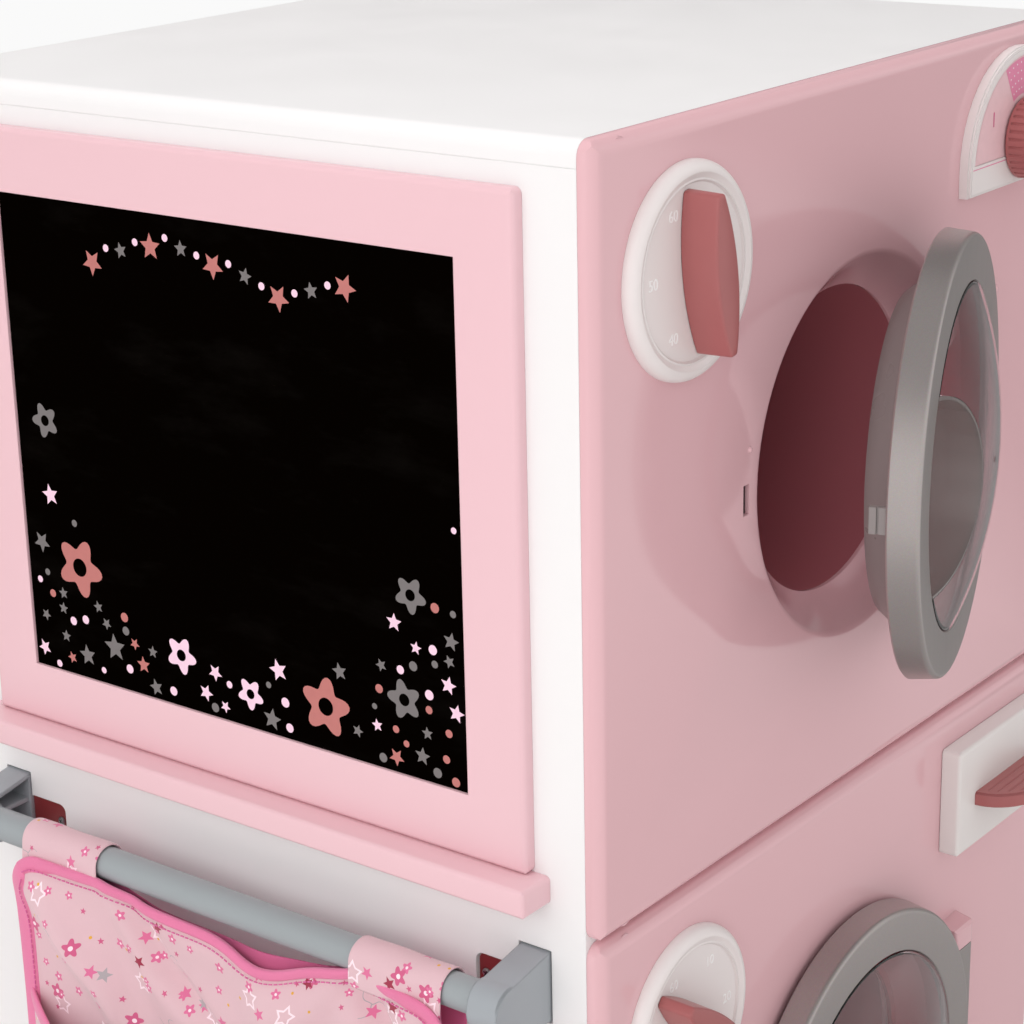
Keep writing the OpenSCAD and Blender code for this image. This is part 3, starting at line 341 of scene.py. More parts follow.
def printed_on(g, uv, colour):
    """Small stars, five-petalled blossoms, sprigs and specks on the ground colour."""
    # large pale stars, as outlines
    radius, angle, rand = scattered(g, uv, 26.0, 5)
    whole = inside(g, radius, star_edge(g, angle, 7.5 * MM, 0.55))
    hollow = g.math("SUBTRACT", 1.0, inside(g, radius, star_edge(g, angle, 5.2 * MM, 0.55)))
    colour = stamp(g, colour, g.times(whole, hollow), rand[1], 0.45, PRINT_PALE)
    # grey sprigs: curled thin lines that cross
    radius, angle, rand = scattered(g, uv, 21.0, 9)
    curl = g.times(g.math("SINE", g.times(radius, 420.0)), 0.35)
    line = g.math("ABSOLUTE", g.math("SINE", g.times(g.math("ADD", angle, curl), 1.5)))
    thin = g.math("LESS_THAN", g.times(line, radius), 0.42 * MM)
    stem = g.times(thin, g.math("LESS_THAN", radius, 9.0 * MM))
    colour = stamp(g, colour, stem, rand[2], 0.55, PRINT_GREY)
    for scale, size, seed, limit, paint in CLOTH_BLOSSOMS:
        radius, angle, rand = scattered(g, uv, scale, seed)
        colour = stamp(g, colour, inside(g, radius, petal_edge(g, angle, size * MM)), rand[1], limit, paint)
        colour = stamp(g, colour, inside(g, radius, size * 0.26 * MM), rand[1], limit, PRINT_PALE)
    for scale, size, seed, limit, paint in CLOTH_STARS:
        radius, angle, rand = scattered(g, uv, scale, seed)
        colour = stamp(g, colour, inside(g, radius, star_edge(g, angle, size * MM)), rand[1], limit, paint)
    radius, angle, rand = scattered(g, uv, 80.0, 31)
    return stamp(g, colour, inside(g, radius, 1.0 * MM), rand[1], 0.86, PRINT_AMBER)


# ---- the finishes
M = {
    "board": painted_board("white_board", (240, 238, 238)),
    "back": painted_board("back_board_white", (232, 229, 227), 0.55),
    "glide": plastic("glide_grey", (92, 92, 94), 0.5),
    "shell": plastic("shell_pink", (227, 182, 188), 0.09, 0.02, 0.8 * MM, amount=0.01, scale=3.0),
    "drum": plastic("drum_rose", (176, 104, 112), 0.42, 0.10),
    "dial": plastic("dial_white", (236, 228, 227), 0.30, 0.03, 0.7 * MM, amount=0.01),
    "knob": plastic("knob_rose", (168, 96, 96), 0.30, 0.10, 1.0 * MM, amount=0.05, scale=40.0),
    "clip": plastic("clip_grey", (150, 148, 146), 0.5),
    "drawer": plastic("drawer_white", (230, 224, 222), 0.34, 0.03, 0.8 * MM, amount=0.01),
    "ring": pearl("door_pearl", (174, 166, 164)),
    "latch": plastic("door_grey", (140, 132, 131), 0.28, 0.04, 0.6 * MM, amount=0.03),
    "cone_upper": door_funnel("door_grey_upper", "upper", 17.5),
    "cone_lower": door_funnel("door_grey_lower", "lower", 0.0),
    "scoop": clear("scoop_grey", (172, 162, 160), 0.03, 0.6),
    "window": clear("window_clear", (251, 234, 237)),
    "pin": steel("pin_steel", (190, 190, 192)),
    "frame": plastic("frame_pink", (234, 193, 200), 0.30, 0.04, 1.0 * MM, amount=0.01, scale=3.0),
    "black": chalk_black("chalk_black"),
    "rod": plastic("rod_grey", (156, 162, 165), 0.38, 0.04, 0.5 * MM, amount=0.02),
    "bracket": plastic("bracket_grey", (160, 165, 170), 0.36, 0.05, 1.6 * MM, amount=0.02),
    "plate": plastic("plate_red", (128, 46, 48), 0.35, 0.06, 0.6 * MM),
    "screw": steel("screw_steel", (176, 176, 176)),
    # painted shade: dark ink for the shadowed cross recesses of the screw heads
    "recess": ink("painted_recess_shade", (40, 38, 38), 0.5),
    "numeral": plastic("numeral_white", (250, 248, 248), 0.3, 0.0, 0.1 * MM),
    "pale_ink": ink("ink_pale_pink", (234, 196, 201)),
    "hot_ink": ink("ink_hot_pink", (230, 138, 172)),
    "deep_ink": ink("ink_deep_pink", (208, 96, 140)),
    "white_ink": ink("ink_white", (246, 240, 242)),
    "rose_chalk": ink("print_rose", (190, 115, 110), 0.55),
    "grey_chalk": ink("print_grey", (118, 112, 112), 0.55),
    "pink_chalk": ink("print_light_pink", (243, 205, 224), 0.55),
    "print": cloth("cloth_print", (220, 183, 190)),
    "binding": cloth("cloth_binding", (226, 122, 162), False, 0.6),
    "lining": cloth("cloth_lining", (206, 96, 140), False, 0.6),
    "thread": ink("stitch_thread", (214, 106, 158), 0.8),
}

NODE_FINISH = {
    "board": "side_left side_right top_board base_board middle_shelf toe_board",
    "back": "back_board",
    "glide": "glides",
    "shell": "shell_upper shell_lower",
    "drum": "drum_upper drum_lower",
    "dial": "dial_upper dial_lower heat_plate",
    "knob": "timer_knob_upper timer_knob_lower heat_knob drawer_pull",
    "clip": "timer_clip_upper timer_clip_lower heat_clip",
    "pale_ink": "heat_card",
    "drawer": "drawer_front drawer_tray drawer_guide",
    "ring": "ring_upper ring_lower",
    "latch": "latch_upper latch_lower",
    "cone_upper": "cone_upper",
    "cone_lower": "cone_lower",
    "window": "window_upper window_lower",
    "scoop": "scoop_upper scoop_lower",
    "pin": "hinge_pins",
    "frame": "chalk_frame chalk_ledge",
    "black": "chalk_panel",
    "rod": "rod",
    "bracket": "bracket_front bracket_rear",
    "plate": "fixing_plates",
    "screw": "plate_screws",
    "print": "bag_back bag_pocket bag_loops",
    "binding": "bag_binding",
}


def smooth_by_angle():
    """Node group that merges a CAD mesh's doubled vertices and shades it smooth below a limit angle."""
    group = bpy.data.node_groups.new("smooth_by_angle", "GeometryNodeTree")
    for side in ("INPUT", "OUTPUT"):
        group.interface.new_socket("Geometry", in_out=side, socket_type="NodeSocketGeometry")
    source, merge, faces, edges, angle, less, sink = (group.nodes.new(kind) for kind in (
        "NodeGroupInput", "GeometryNodeMergeByDistance", "GeometryNodeSetShadeSmooth",
        "GeometryNodeSetShadeSmooth", "GeometryNodeInputMeshEdgeAngle", "FunctionNodeCompare",
        "NodeGroupOutput"))
    merge.inputs["Distance"].default_value = 2e-6
    less.operation = "LESS_THAN"
    less.inputs[1].default_value = radians(28)
    edges.domain = "EDGE"
    for start, end in ((source.outputs[0], merge.inputs["Geometry"]),
                       (merge.outputs[0], faces.inputs["Geometry"]),
                       (faces.outputs[0], edges.inputs["Geometry"]),
                       (angle.outputs["Unsigned Angle"], less.inputs[0]),
                       (less.outputs[0], edges.inputs["Shade Smooth"]),
                       (edges.outputs[0], sink.inputs[0])):
        group.links.new(start, end)
    return group


SMOOTH = smooth_by_angle()


def dress_nodes():
    for finish, names in NODE_FINISH.items():
        for name in names.split():
            obj = nodes[name]
            obj.data.materials.clear()
            obj.data.materials.append(M[finish])
            obj.modifiers.new("smooth", "NODES").node_group = SMOOTH


def into_scene(name, data):
    obj = bpy.data.objects.new(name, data)
    bpy.context.scene.collection.objects.link(obj)
    return obj


def show(name, mesh, finishes, smooth):
    """An object in the scene with this mesh."""
    for finish in finishes:
        mesh.materials.append(M[finish])
    mesh.polygons.foreach_set("use_smooth", [smooth] * len(mesh.polygons))
    return into_scene(name, mesh)


def mesh_object(name, verts, faces, finishes, indices=None, smooth=False):
    mesh = bpy.data.meshes.new(name)
    mesh.from_pydata([tuple(v) for v in verts], [], [tuple(f) for f in faces])
    obj = show(name, mesh, finishes, smooth)
    if indices is not None:
        mesh.polygons.foreach_set("material_index", indices)
    mesh.update()
    return obj


def from_bmesh(name, bm, finish, smooth=True):
    mesh = bpy.data.meshes.new(name)
    bm.normal_update()
    bm.to_mesh(mesh)
    bm.free()
    return show(name, mesh, [finish], smooth)


def on_cabinet(obj):
    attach(obj, "cabinet")


# ---- stage, lamps, camera
CAMERA_AT = Vector((-1.24278, -0.94054, 1.10378))
CAMERA_RIGHT = Vector((0.62425778, -0.7806114, -0.03079074))
CAMERA_DOWN = Vector((-0.26462114, -0.17420599, -0.94848718))
SENSOR = 36  # mm
CAMERA_LENS = SENSOR * 2519.7 / 1024  # fitted focal length and picture width, in pixels
CAMERA_SHIFT = 0.080


def make_camera():
    """The camera that was fitted to the photograph."""
    data = bpy.data.cameras.new("camera")
    data.sensor_width = SENSOR
    data.lens = CAMERA_LENS
    data.shift_x = CAMERA_SHIFT
    data.clip_end = 60
    cam = into_scene("camera", data)
    forward = CAMERA_RIGHT.cross(CAMERA_DOWN)
    turn = Matrix((CAMERA_RIGHT, -CAMERA_DOWN, -forward)).transposed()
    cam.matrix_world = Matrix.Translation(CAMERA_AT) @ turn.to_4x4()
    bpy.context.scene.camera = cam


def lamp(name, at, towards, size, power):
    """A soft rectangular lamp that gloss doesn't mirror."""
    data = bpy.data.lights.new(name, "AREA")
    data.shape = "RECTANGLE"
    data.size, data.size_y = size
    data.energy = power
    obj = into_scene(name, data)
    obj.location = at
    obj.rotation_mode = "QUATERNION"
    obj.rotation_quaternion = (Vector(towards) - Vector(at)).to_track_quat("-Z", "Y")
    obj.visible_glossy = False


FILL = 0.77  # world light that falls on the object
KEY_POWER, TOP_POWER, SIDE_POWER = 10, 30, 14
SHADE = 0.33  # what gloss shows overhead, behind and close by; on the floor it is painted shade in the floor's glow
DEEP_SHADE = 0.2  # painted shade: what gloss shows of the floor's glow to the right
STUDIO_TINT = (1, 0.985, 0.98, 1)
FLOOR_HALF = 30


def make_floor():
    """Pale floor. For glossy rays it glows as a painted reflection: bright in front, with painted shade
    behind, close by and to the right.
    """
    g = Graph("floor_pale")
    here = g.place()
    xyz = g.add("SeparateXYZ", Vector=here)
    paint = g.mix(g.spread(g.noise(here, 40.0, 3.0), 0.0, 0.3), rgb(244, 243, 242), rgb(236, 235, 234))
    back = g.ease(xyz.outputs[1], 0.3, 1.1, 1.0, SHADE)
    near = g.ease(g.vec("LENGTH", here), 0.5, 2.0, SHADE, 1.0)
    right = g.ease(g.math("ADD", xyz.outputs[0], xyz.outputs[1]), 0.3, 1.1, 1.0, DEEP_SHADE)
    # painted reflection: the floor's glow for glossy rays, dimmed to painted shade behind, close by and to
    # the right
    strength = g.times(back, near, right)
    path = g.add("LightPath")
    camera = g.blend(g.times(path.outputs["Is Camera Ray"], 0.86),
                     g.add("BsdfDiffuse", Color=paint),
                     g.add("Emission", Color=(1, 1, 1, 1), Strength=1.0))
    g.surface(g.blend(g.times(path.outputs["Is Glossy Ray"], 0.85), camera,
                      g.add("Emission", Color=STUDIO_TINT, Strength=strength)))
    corners = [(x * FLOOR_HALF, y * FLOOR_HALF, 0) for x, y in ((-1, -1), (1, -1), (1, 1), (-1, 1))]
    floor = mesh_object("floor", corners, [(0, 1, 2, 3)], [])
    floor.data.materials.append(g.mat)


def make_world():
    """White studio. Gloss sees it shaded behind, overhead and to the right."""
    w = Graph("studio", world=True)
    path = w.add("LightPath")
    way = w.add("SeparateXYZ", Vector=w.place("Generated"))
    back = w.ease(way.outputs[1], 0.15, 0.6, 1.0, SHADE)
    high = w.ease(way.outputs[2], 0.25, 0.8, 1.0, SHADE)
    right = w.ease(w.math("ADD", way.outputs[0], way.outputs[1]), 0.4, 0.75, 1.0, SHADE)
    strength = w.times(back, high, right)
    fill = w.add("Background", Color=STUDIO_TINT, Strength=FILL)
    gloss = w.blend(path.outputs["Is Glossy Ray"], fill,
                    w.add("Background", Color=STUDIO_TINT, Strength=strength))
    white = w.add("Background", Color=(1, 1, 1, 1), Strength=1.0)
    seen = w.math("MAXIMUM", path.outputs["Is Camera Ray"], path.outputs["Is Transmission Ray"])
    bpy.context.scene.world = w.surface(w.blend(seen, gloss, white))


def make_stage():
    make_floor()
    make_world()
    lamp("key_left", (-2.8, 0.7, 2.2), (-0.2, 0.0, 0.55), (2.6, 2.2), KEY_POWER)
    lamp("side_left", (-2.3, -0.7, 1.5), (-0.26, 0.0, 0.42), (1.8, 1.2), SIDE_POWER)
    lamp("top_soft", (0.3, 0.6, 3.2), (0.0, 0.1, 0.6), (2.8, 2.8), TOP_POWER)
    bpy.context.scene.view_settings.view_transform = "Standard"


# ---- chalkboard print
RAIL = 38 * MM  # width of the frame round the black board
MOTIFS, GARLAND = 76, 17  # pieces strewn below, pieces in the garland
GARLAND_FROM, GARLAND_WIDE = 0.22, 0.56  # of the board's width
BLOSSOMS = (  # (across, up) as shares of the board, radius in mm, paint
    (0.87, 0.24, 19, 0), (0.30, 0.09, 18, 0), (0.11, 0.36, 11, 1), (0.93, 0.54, 11, 1),
    (0.63, 0.11, 12, 2), (0.13, 0.15, 12, 1), (0.47, 0.07, 10, 2),
)
PAINTS = ["rose_chalk", "grey_chalk", "pink_chalk", "black"]
HEART = 3  # paint of a blossom's middle


def on_circle(radius, angle):
    return radius * cos(angle), radius * sin(angle)


def star_points(radius, depth, turn, points=5):
    """Outline of a star; depth is its inner radius as a share of the outer one."""
    return [on_circle(radius * (depth if k % 2 else 1.0), turn + pi * k / points)
            for k in range(2 * points)]


def blossom_points(radius, turn, petals=5, steps=60):
    """Outline of a blossom with rounded petals."""
    out = []
    for k in range(steps):
        a = 2 * pi * k / steps
        turns = a * petals / (2 * pi)
        off_petal = abs(turns - round(turns)) * 2 * pi / petals
        out.append(on_circle(radius * (1 - 0.40 * sin(2.5 * off_petal) ** 2), a + turn))
    return out


def dot_points(radius, steps=28):
    return [on_circle(radius, 2 * pi * k / steps) for k in range(steps)]


def chalkboard_print():
    """Stars, dots and blossoms strewn along the foot and corners of the black board."""
    rnd = random.Random(41)
    lo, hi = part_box("chalk_frame")
    y0, y1, z0, z1 = lo.y + RAIL, hi.y - RAIL, lo.z + RAIL, hi.z - RAIL
    width, height = y1 - y0, z1 - z0
    face_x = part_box("chalk_panel")[0].x - 0.12 * MM
    verts, faces, paints, placed = [], [], [], []

    def room(y, z, r):
        rim = r + 1 * MM
        if not (y0 + rim < y < y1 - rim and z0 + rim < z < z1 - rim):
            return False
        return all(hypot(y - a, z - b) > r + c + 1.6 * MM for a, b, c in placed)

    def draw(outline, y, z, paint, lift=0.0):
        base = len(verts)
        verts.extend((face_x - lift, y - a, z + b) for a, b in outline)
        faces.append(range(base, base + len(outline)))
        paints.append(paint)

    def motif(kind, y, z, r, paint):
        turn = rnd.uniform(0, 2 * pi)
        placed.append((y, z, r))
        if kind == "star":
            draw(star_points(r, 0.46, turn), y, z, paint)
        elif kind == "dot":
            draw(dot_points(r), y, z, paint)
        else:
            draw(blossom_points(r, turn), y, z, paint)
            draw(dot_points(r * 0.30), y, z, HEART, 0.05 * MM)

    for across, up, r, paint in BLOSSOMS:
        motif("blossom", y0 + width * across, z0 + height * up, r * MM, paint)
    tries = 0
    while len(placed) < MOTIFS and tries < 6000:
        tries += 1
        u, v = rnd.random(), rnd.random()
        reach = 0.15 + 0.44 * abs(2 * u - 1) ** 3
        if v > reach or rnd.random() < (v / reach) ** 1.5 * 0.9:
            continue
        kind = "dot" if rnd.random() < 0.2 else "star"
        r = (rnd.uniform(1.8, 3.0) if kind == "dot" else rnd.choice((4.0, 5.5, 7.0, 9.0, 11.5))) * MM
        y, z = y0 + width * u, z0 + height * v
        if room(y, z, r):
            motif(kind, y, z, r, rnd.choice((0, 1, 1, 2, 2)))
    for k in range(GARLAND):  # a short garland under the top rail
        part = k / (GARLAND - 1)
        z = z1 - height * (0.085 + 0.035 * sin(2.2 * pi * part))
        kind, r = (("star", 8.0), ("dot", 2.2), ("star", 5.0), ("dot", 2.2))[k % 4]
        motif(kind, y0 + width * (GARLAND_FROM + GARLAND_WIDE * part), z + rnd.uniform(-4, 4) * MM, r * MM,
              (0, 2, 1, 2)[k % 4])
    on_cabinet(mesh_object("chalkboard_print", verts, faces, PAINTS, paints))


# ---- timer dials
DIAL_SINK = 2.5 * MM
NUMERAL_RING = 36.5 * MM
NUMERAL_SIZE = 8.6 * MM
NUMERALS = ("20", "10", "60", "50", "40", "30")  # every 60 degrees, from the right, anticlockwise


def text_mesh(name, text, size, depth):
    curve = bpy.data.curves.new(name, "FONT")
    curve.body = text
    curve.size = size
    curve.extrude = depth
    curve.align_x, curve.align_y = "CENTER", "CENTER"
    curve.resolution_u = 3
    temp = into_scene(name, curve)
    bpy.context.view_layer.update()
    mesh = bpy.data.meshes.new_from_object(temp.evaluated_get(bpy.context.evaluated_depsgraph_get()))
    bpy.data.objects.remove(temp)
    return mesh


def joined_text(name, items, size, depth, y, finish):
    """Numbers that stand in the XZ plane and face -Y; items are (text, x, z)."""
    bm = bmesh.new()
    for text, x, z in items:
        part = text_mesh(name + "_part", text, size, depth)
        part.transform(Matrix.Translation((x, y, z)) @ Matrix.Rotation(pi / 2, 4, "X"))
        bm.from_mesh(part)
        bpy.data.meshes.remove(part)
    return from_bmesh(name, bm, finish, smooth=False)


def dial_numerals(unit):
    lo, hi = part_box(f"dial_{unit}")
    items = []
    for k, text in enumerate(NUMERALS):
        x, z = on_circle(NUMERAL_RING, radians(60 * k))
        items.append((text, (lo.x + hi.x) / 2 + x, (lo.z + hi.z) / 2 + z))
    obj = joined_text(f"dial_numerals_{unit}", items, NUMERAL_SIZE, 0.25 * MM, lo.y + DIAL_SINK, "numeral")
    on_cabinet(obj)


# ---- timer grips
GRIP_LONG, GRIP_WIDE, GRIP_END = 88 * MM, 21 * MM, 6 * MM
GRIP_DRAFT = (0.93, 0.985)  # front face over back face, across and along
GRIP_EDGE = 1.5 * MM  # radius of the rounded edges


def lens_outline(length, width, end, count=28):
    """Outline of the grip: two arcs that meet blunt ends. Points are (across, along)."""
    sag = (width - end) / 2
    radius = (length * length / 4 + sag * sag) / (2 * sag)
    half = asin(length / 2 / radius)
    side = [(width / 2 - radius + radius * cos(a), radius * sin(a))
            for a in np.linspace(-half, half, count)]
    return side + [(-x, -y) for x, y in side]


def timer_grip(unit, turn):
    joint = joints[f"timer_{unit}_turn"]
    at = Vector(joint["pos_m"])
    y_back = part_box(f"dial_{unit}")[0].y + DIAL_SINK - 0.3 * MM
    y_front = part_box(f"timer_knob_{unit}")[0].y
    bm = bmesh.new()
    outline = lens_outline(GRIP_LONG, GRIP_WIDE, GRIP_END)
    inner = [(x * GRIP_DRAFT[0], z * GRIP_DRAFT[1]) for x, z in outline]
    back = [bm.verts.new((x, y_back, z)) for x, z in outline]
    front = [bm.verts.new((x, y_front, z)) for x, z in inner]
    bm.faces.new(back)
    bm.faces.new(list(reversed(front)))
    for k in range(len(outline)):
        j = (k + 1) % len(outline)
        bm.faces.new((back[j], back[k], front[k], front[j]))
    bmesh.ops.recalc_face_normals(bm, faces=bm.faces)
    rim = [e for e in bm.edges if all(v in front for v in e.verts)]
    ends = [e for e in bm.edges if e.calc_face_angle(0) > radians(40) and e not in rim
            and abs(e.verts[0].co.y - e.verts[1].co.y) > 1 * MM]
    bmesh.ops.bevel(bm, geom=rim + ends, offset=GRIP_EDGE, segments=4, profile=0.5, affect="EDGES",
                    clamp_overlap=True)
    bm.transform(Matrix.Translation((at.x, 0, at.z)) @ Matrix.Rotation(-radians(turn), 4, "Y"))
    obj = from_bmesh(f"timer_grip_{unit}", bm, "knob")
    obj.modifiers.new("smooth", "NODES").node_group = SMOOTH
    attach(obj, f"timer_knob_{unit}_body")
    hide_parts(f"timer_knob_{unit}")


# ---- heat label
LABEL_ARC_DROP, LABEL_ARC = 67 * MM, 61.2 * MM  # the arc's middle under the plate's top, its radius
LABEL_FOOT = 19.8 * MM  # the label's foot over the plate's
LABEL_MARGIN = 0.6 * MM
SECTORS = ((-14, 58), (60, 120), (122, 194))
SECTOR_FROM, SECTOR_STEPS = 27 * MM, 24
DOT_ROWS, DOTS, DOTS_FROM, DOTS_TO = 5, 9, 64, 116  # in the middle sector, in degrees
DOT_RING, DOT_STEP = 31 * MM, 5.2 * MM  # radius of the first row of dots, and from row to row
DOT_SIZE, DOT_SIDES = 0.55 * MM, 10
HEAT_NUMBERS = (("3", 22), ("1", 158))
HEAT_NUMBER_RING, HEAT_NUMBER_SIZE = 42 * MM, 13 * MM
HEAT_INKS = ["deep_ink", "hot_ink", "pale_ink", "white_ink"]


def heat_label():
    """Three tinted sectors round the knob, rows of fine dots, plain numbers and a line under them."""
    plate_lo, plate_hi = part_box("heat_plate")
    knob = Vector(joints["heat_turn"]["pos_m"])
    drop = knob.z - (plate_hi.z - LABEL_ARC_DROP)
    foot = plate_lo.z + LABEL_FOOT
    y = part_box("heat_card")[0].y - 0.08 * MM
    verts, faces, paints = [], [], []

    def reach(angle):
        s, c = sin(angle), cos(angle)
        far = -drop * s + sqrt((drop * s) ** 2 + LABEL_ARC ** 2 - drop * drop)
        return min(far, (foot - knob.z) / s) if s < -1e-6 else far

    def around(radius, angle):
        across, up = on_circle(radius, angle)
        return knob.x + across, knob.z + up

    for paint, (start, end) in enumerate(SECTORS):
        base = len(verts)
        for i in range(SECTOR_STEPS + 1):
            angle = radians(start + (end - start) * i / SECTOR_STEPS)
            for radius in (SECTOR_FROM, reach(angle) - LABEL_MARGIN):
                x, z = around(radius, angle)
                verts.append((x, y, z))
        for i in range(base, base + 2 * SECTOR_STEPS, 2):
            faces.append((i, i + 1, i + 3, i + 2))
            paints.append(paint)
    for row in range(DOT_ROWS):
        for i in range(DOTS):
            angle = radians(DOTS_FROM + (DOTS_TO - DOTS_FROM) * i / (DOTS - 1))
            x, z = around(DOT_RING + DOT_STEP * row, angle)
            base = len(verts)
            verts.extend((x + p, y - 0.05 * MM, z + q) for p, q in dot_points(DOT_SIZE, DOT_SIDES))
            faces.append(range(base, base + DOT_SIDES))
            paints.append(HEAT_INKS.index("white_ink"))
    on_cabinet(mesh_object("heat_label", verts, faces, HEAT_INKS, paints))
    items = [(text, *around(HEAT_NUMBER_RING, radians(a))) for text, a in HEAT_NUMBERS]
    numbers = joined_text("heat_numbers", items, HEAT_NUMBER_SIZE, 0.03 * MM, y - 0.1 * MM, "deep_ink")
    on_cabinet(numbers)
    left, right, low, high = plate_lo.x + 3 * MM, plate_hi.x - 3 * MM, foot - 3.2 * MM, foot - 2.6 * MM
    corners = [(x, plate_lo.y - 0.05 * MM, z)
               for x, z in ((left, low), (right, low), (right, high), (left, high))]
    on_cabinet(mesh_object("heat_plate_line", corners, [(0, 1, 2, 3)], ["hot_ink"]))


# ---- screws
SCREW_HEAD = 2.8 * MM  # radius
CROSS_LONG, CROSS_WIDE, CROSS_TURN = 3.6 * MM, 0.72 * MM, 0.5


def painted_screw_cross_shade():
    """Cross recesses of the two screw heads on the red plates, as flat dark inlays of painted shade, not
    hollows.
    """
    lo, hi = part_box("plate_screws")
    z = (lo.z + hi.z) / 2
    verts, faces = [], []
    for y in (lo.y + SCREW_HEAD, hi.y - SCREW_HEAD):
        for turn in (CROSS_TURN, CROSS_TURN + pi / 2):
            c, s = cos(turn), sin(turn)
            base = len(verts)
            for across, up in ((-1, -1), (1, -1), (1, 1), (-1, 1)):
                a, b = across * CROSS_LONG / 2, up * CROSS_WIDE / 2
                verts.append((lo.x - 0.06 * MM, y + a * c - b * s, z + a * s + b * c))
            faces.append((base + 3, base + 2, base + 1, base))
    on_cabinet(mesh_object("painted_screw_cross_shade", verts, faces, ["recess"]))


# ---- cloth bag
BAG_W, BAG_H = 0.350, 0.292  # flat size of the panels
BAG_CORNER = 25 * MM
BAG_CELLS = (70, 58)  # across and down
BIND_W = 14.5 * MM
LOOP_W = 66 * MM
LOOP_R = 11.6 * MM  # middle of the strap round the rod
SLACK = 3 * MM  # cloth to spare between the loops
SAG_WIDE, SAG_DEEP = 6.0 * MM, 11.0 * MM  # sag of the front hem between the loops
SAG_BEHIND = 10.0 * MM
HEM_RISE = 8.5 * MM  # hem's height over the plain solid's
POCKET_DROP, POCKET_SAG, POCKET_BULGE = 93 * MM, 34 * MM, 52 * MM
CLOTH_THICK = 1.2 * MM
MOUTH_LONG = 0.42  # length of the mouth's tape
TAPE_STEP = 4 * MM  # between two rings of the edge binding
SIM_FRAMES = 36
SIM_SETTINGS = {
    "mass": 0.02, "quality": 7, "tension_stiffness": 60, "compression_stiffness": 5,
    "shear_stiffness": 0.3, "bending_stiffness": 0.5, "tension_damping": 6, "compression_damping": 6,
    "shear_damping": 2, "air_damping": 0.05,
}
FOLDS = (  # soft folds: (y, z) in mm from the panel's middle, depth, width
    (((160, 128), (137, 114), (117, 95), (99, 77), (84, 52)), -16.25, 14),
    (((73, 135), (64, 123), (51, 106), (37, 99), (16, 84), (-4, 62)), 13.125, 9),
    (((-100, 134), (-113, 125), (-122, 112), (-136, 92)), 13.75, 10),
    (((-30, 138), (-40, 110), (-36, 80)), -7.5, 18),
    (((30, 40), (0, -20), (-14, -80)), 7.5, 24),
    (((-90, 60), (-70, 0), (-76, -70)), -8.75, 22),
    (((120, 20), (96, -40), (104, -100)), 7.5, 20),
)


def smoothstep(a, b, x):
    t = np.clip((x - a) / (b - a), 0.0, 1.0)
    return t * t * (3 - 2 * t)


def grid_faces(rows, cols, closed=False):
    wide = cols if closed else cols - 1
    return [(j * cols + i, j * cols + (i + 1) % cols, (j + 1) * cols + (i + 1) % cols, (j + 1) * cols + i)
            for j in range(rows - 1) for i in range(wide)]


def cloth_grid(name, points, flat, finish, thick=CLOTH_THICK, closed=False):
    """Cloth from a grid of points (rows, cols, 3); flat holds each point's place on the cut, in metres."""
    rows, cols = points.shape[:2]
    faces = grid_faces(rows, cols, closed)
    obj = mesh_object(name, points.reshape(-1, 3).tolist(), faces, [finish], smooth=True)
    layer = obj.data.uv_layers.new(name="cloth")
    spots = flat.reshape(-1, 2)
    order = np.empty(len(obj.data.loops), dtype=np.int32)
    obj.data.loops.foreach_get("vertex_index", order)
    layer.data.foreach_set("uv", spots[order].astype(np.float32).ravel())
    if thick:
        solid = obj.modifiers.new("thickness", "SOLIDIFY")
        solid.thickness, solid.offset = thick, 0.0
    sub = obj.modifiers.new("smooth", "SUBSURF")
    sub.levels = sub.render_levels = 1
    return obj


def along(grid, s, t):
    """Point of a grid surface at s across and t down, both 0..1; s and t may be arrays."""
    rows, cols = grid.shape[:2]
    x = np.clip(np.asarray(s, float), 0, 1) * (cols - 1)
    y = np.clip(np.asarray(t, float), 0, 1) * (rows - 1)
    i, j = np.minimum(x.astype(int), cols - 2), np.minimum(y.astype(int), rows - 2)
    a, b = (x - i)[..., None], (y - j)[..., None]
    return ((grid[j, i] * (1 - a) + grid[j, i + 1] * a) * (1 - b)
            + (grid[j + 1, i] * (1 - a) + grid[j + 1, i + 1] * a) * b)


def outward(grid, s, t):
    """Unit normal there, towards -X."""
    d = 0.012
    across = along(grid, np.clip(s + d, 0, 1), t) - along(grid, np.clip(s - d, 0, 1), t)
    down = along(grid, s, np.clip(t + d, 0, 1)) - along(grid, s, np.clip(t - d, 0, 1))
    n = np.cross(across, down)
    n /= np.linalg.norm(n, axis=-1, keepdims=True)
    return np.where(n[..., :1] > 0, -n, n)


def flat_panel():
    """Places on the cut, (y, z) from its middle: a rectangle whose corners are drawn in to arcs."""
    cols, rows = BAG_CELLS[0] + 1, BAG_CELLS[1] + 1
    y, z = np.meshgrid(np.linspace(BAG_W / 2, -BAG_W / 2, cols), np.linspace(BAG_H / 2, -BAG_H / 2, rows))
    p = np.maximum(np.abs(y) - (BAG_W / 2 - BAG_CORNER), 0)
    q = np.maximum(np.abs(z) - (BAG_H / 2 - BAG_CORNER), 0)
    pull = np.where((p > 0) & (q > 0), np.maximum(p, q) / np.maximum(np.hypot(p, q), 1e-9), 1.0)
    y = np.sign(y) * (np.abs(y) - p + p * pull)
    z = np.sign(z) * (np.abs(z) - q + q * pull)
    return y, z


def hem_dip(inner):
    """The dip near the front loop, which fades out down the panel."""
    return SAG_DEEP * np.exp(-((inner + 0.36) / 0.30) ** 2)


def hem_sag(inner):
    """Sag between the loops, deeper towards the front one; inner is -1 at the front loop, 1 at the rear."""
    return SAG_WIDE * np.cos(np.pi * inner / 2) ** 0.8 + hem_dip(inner)


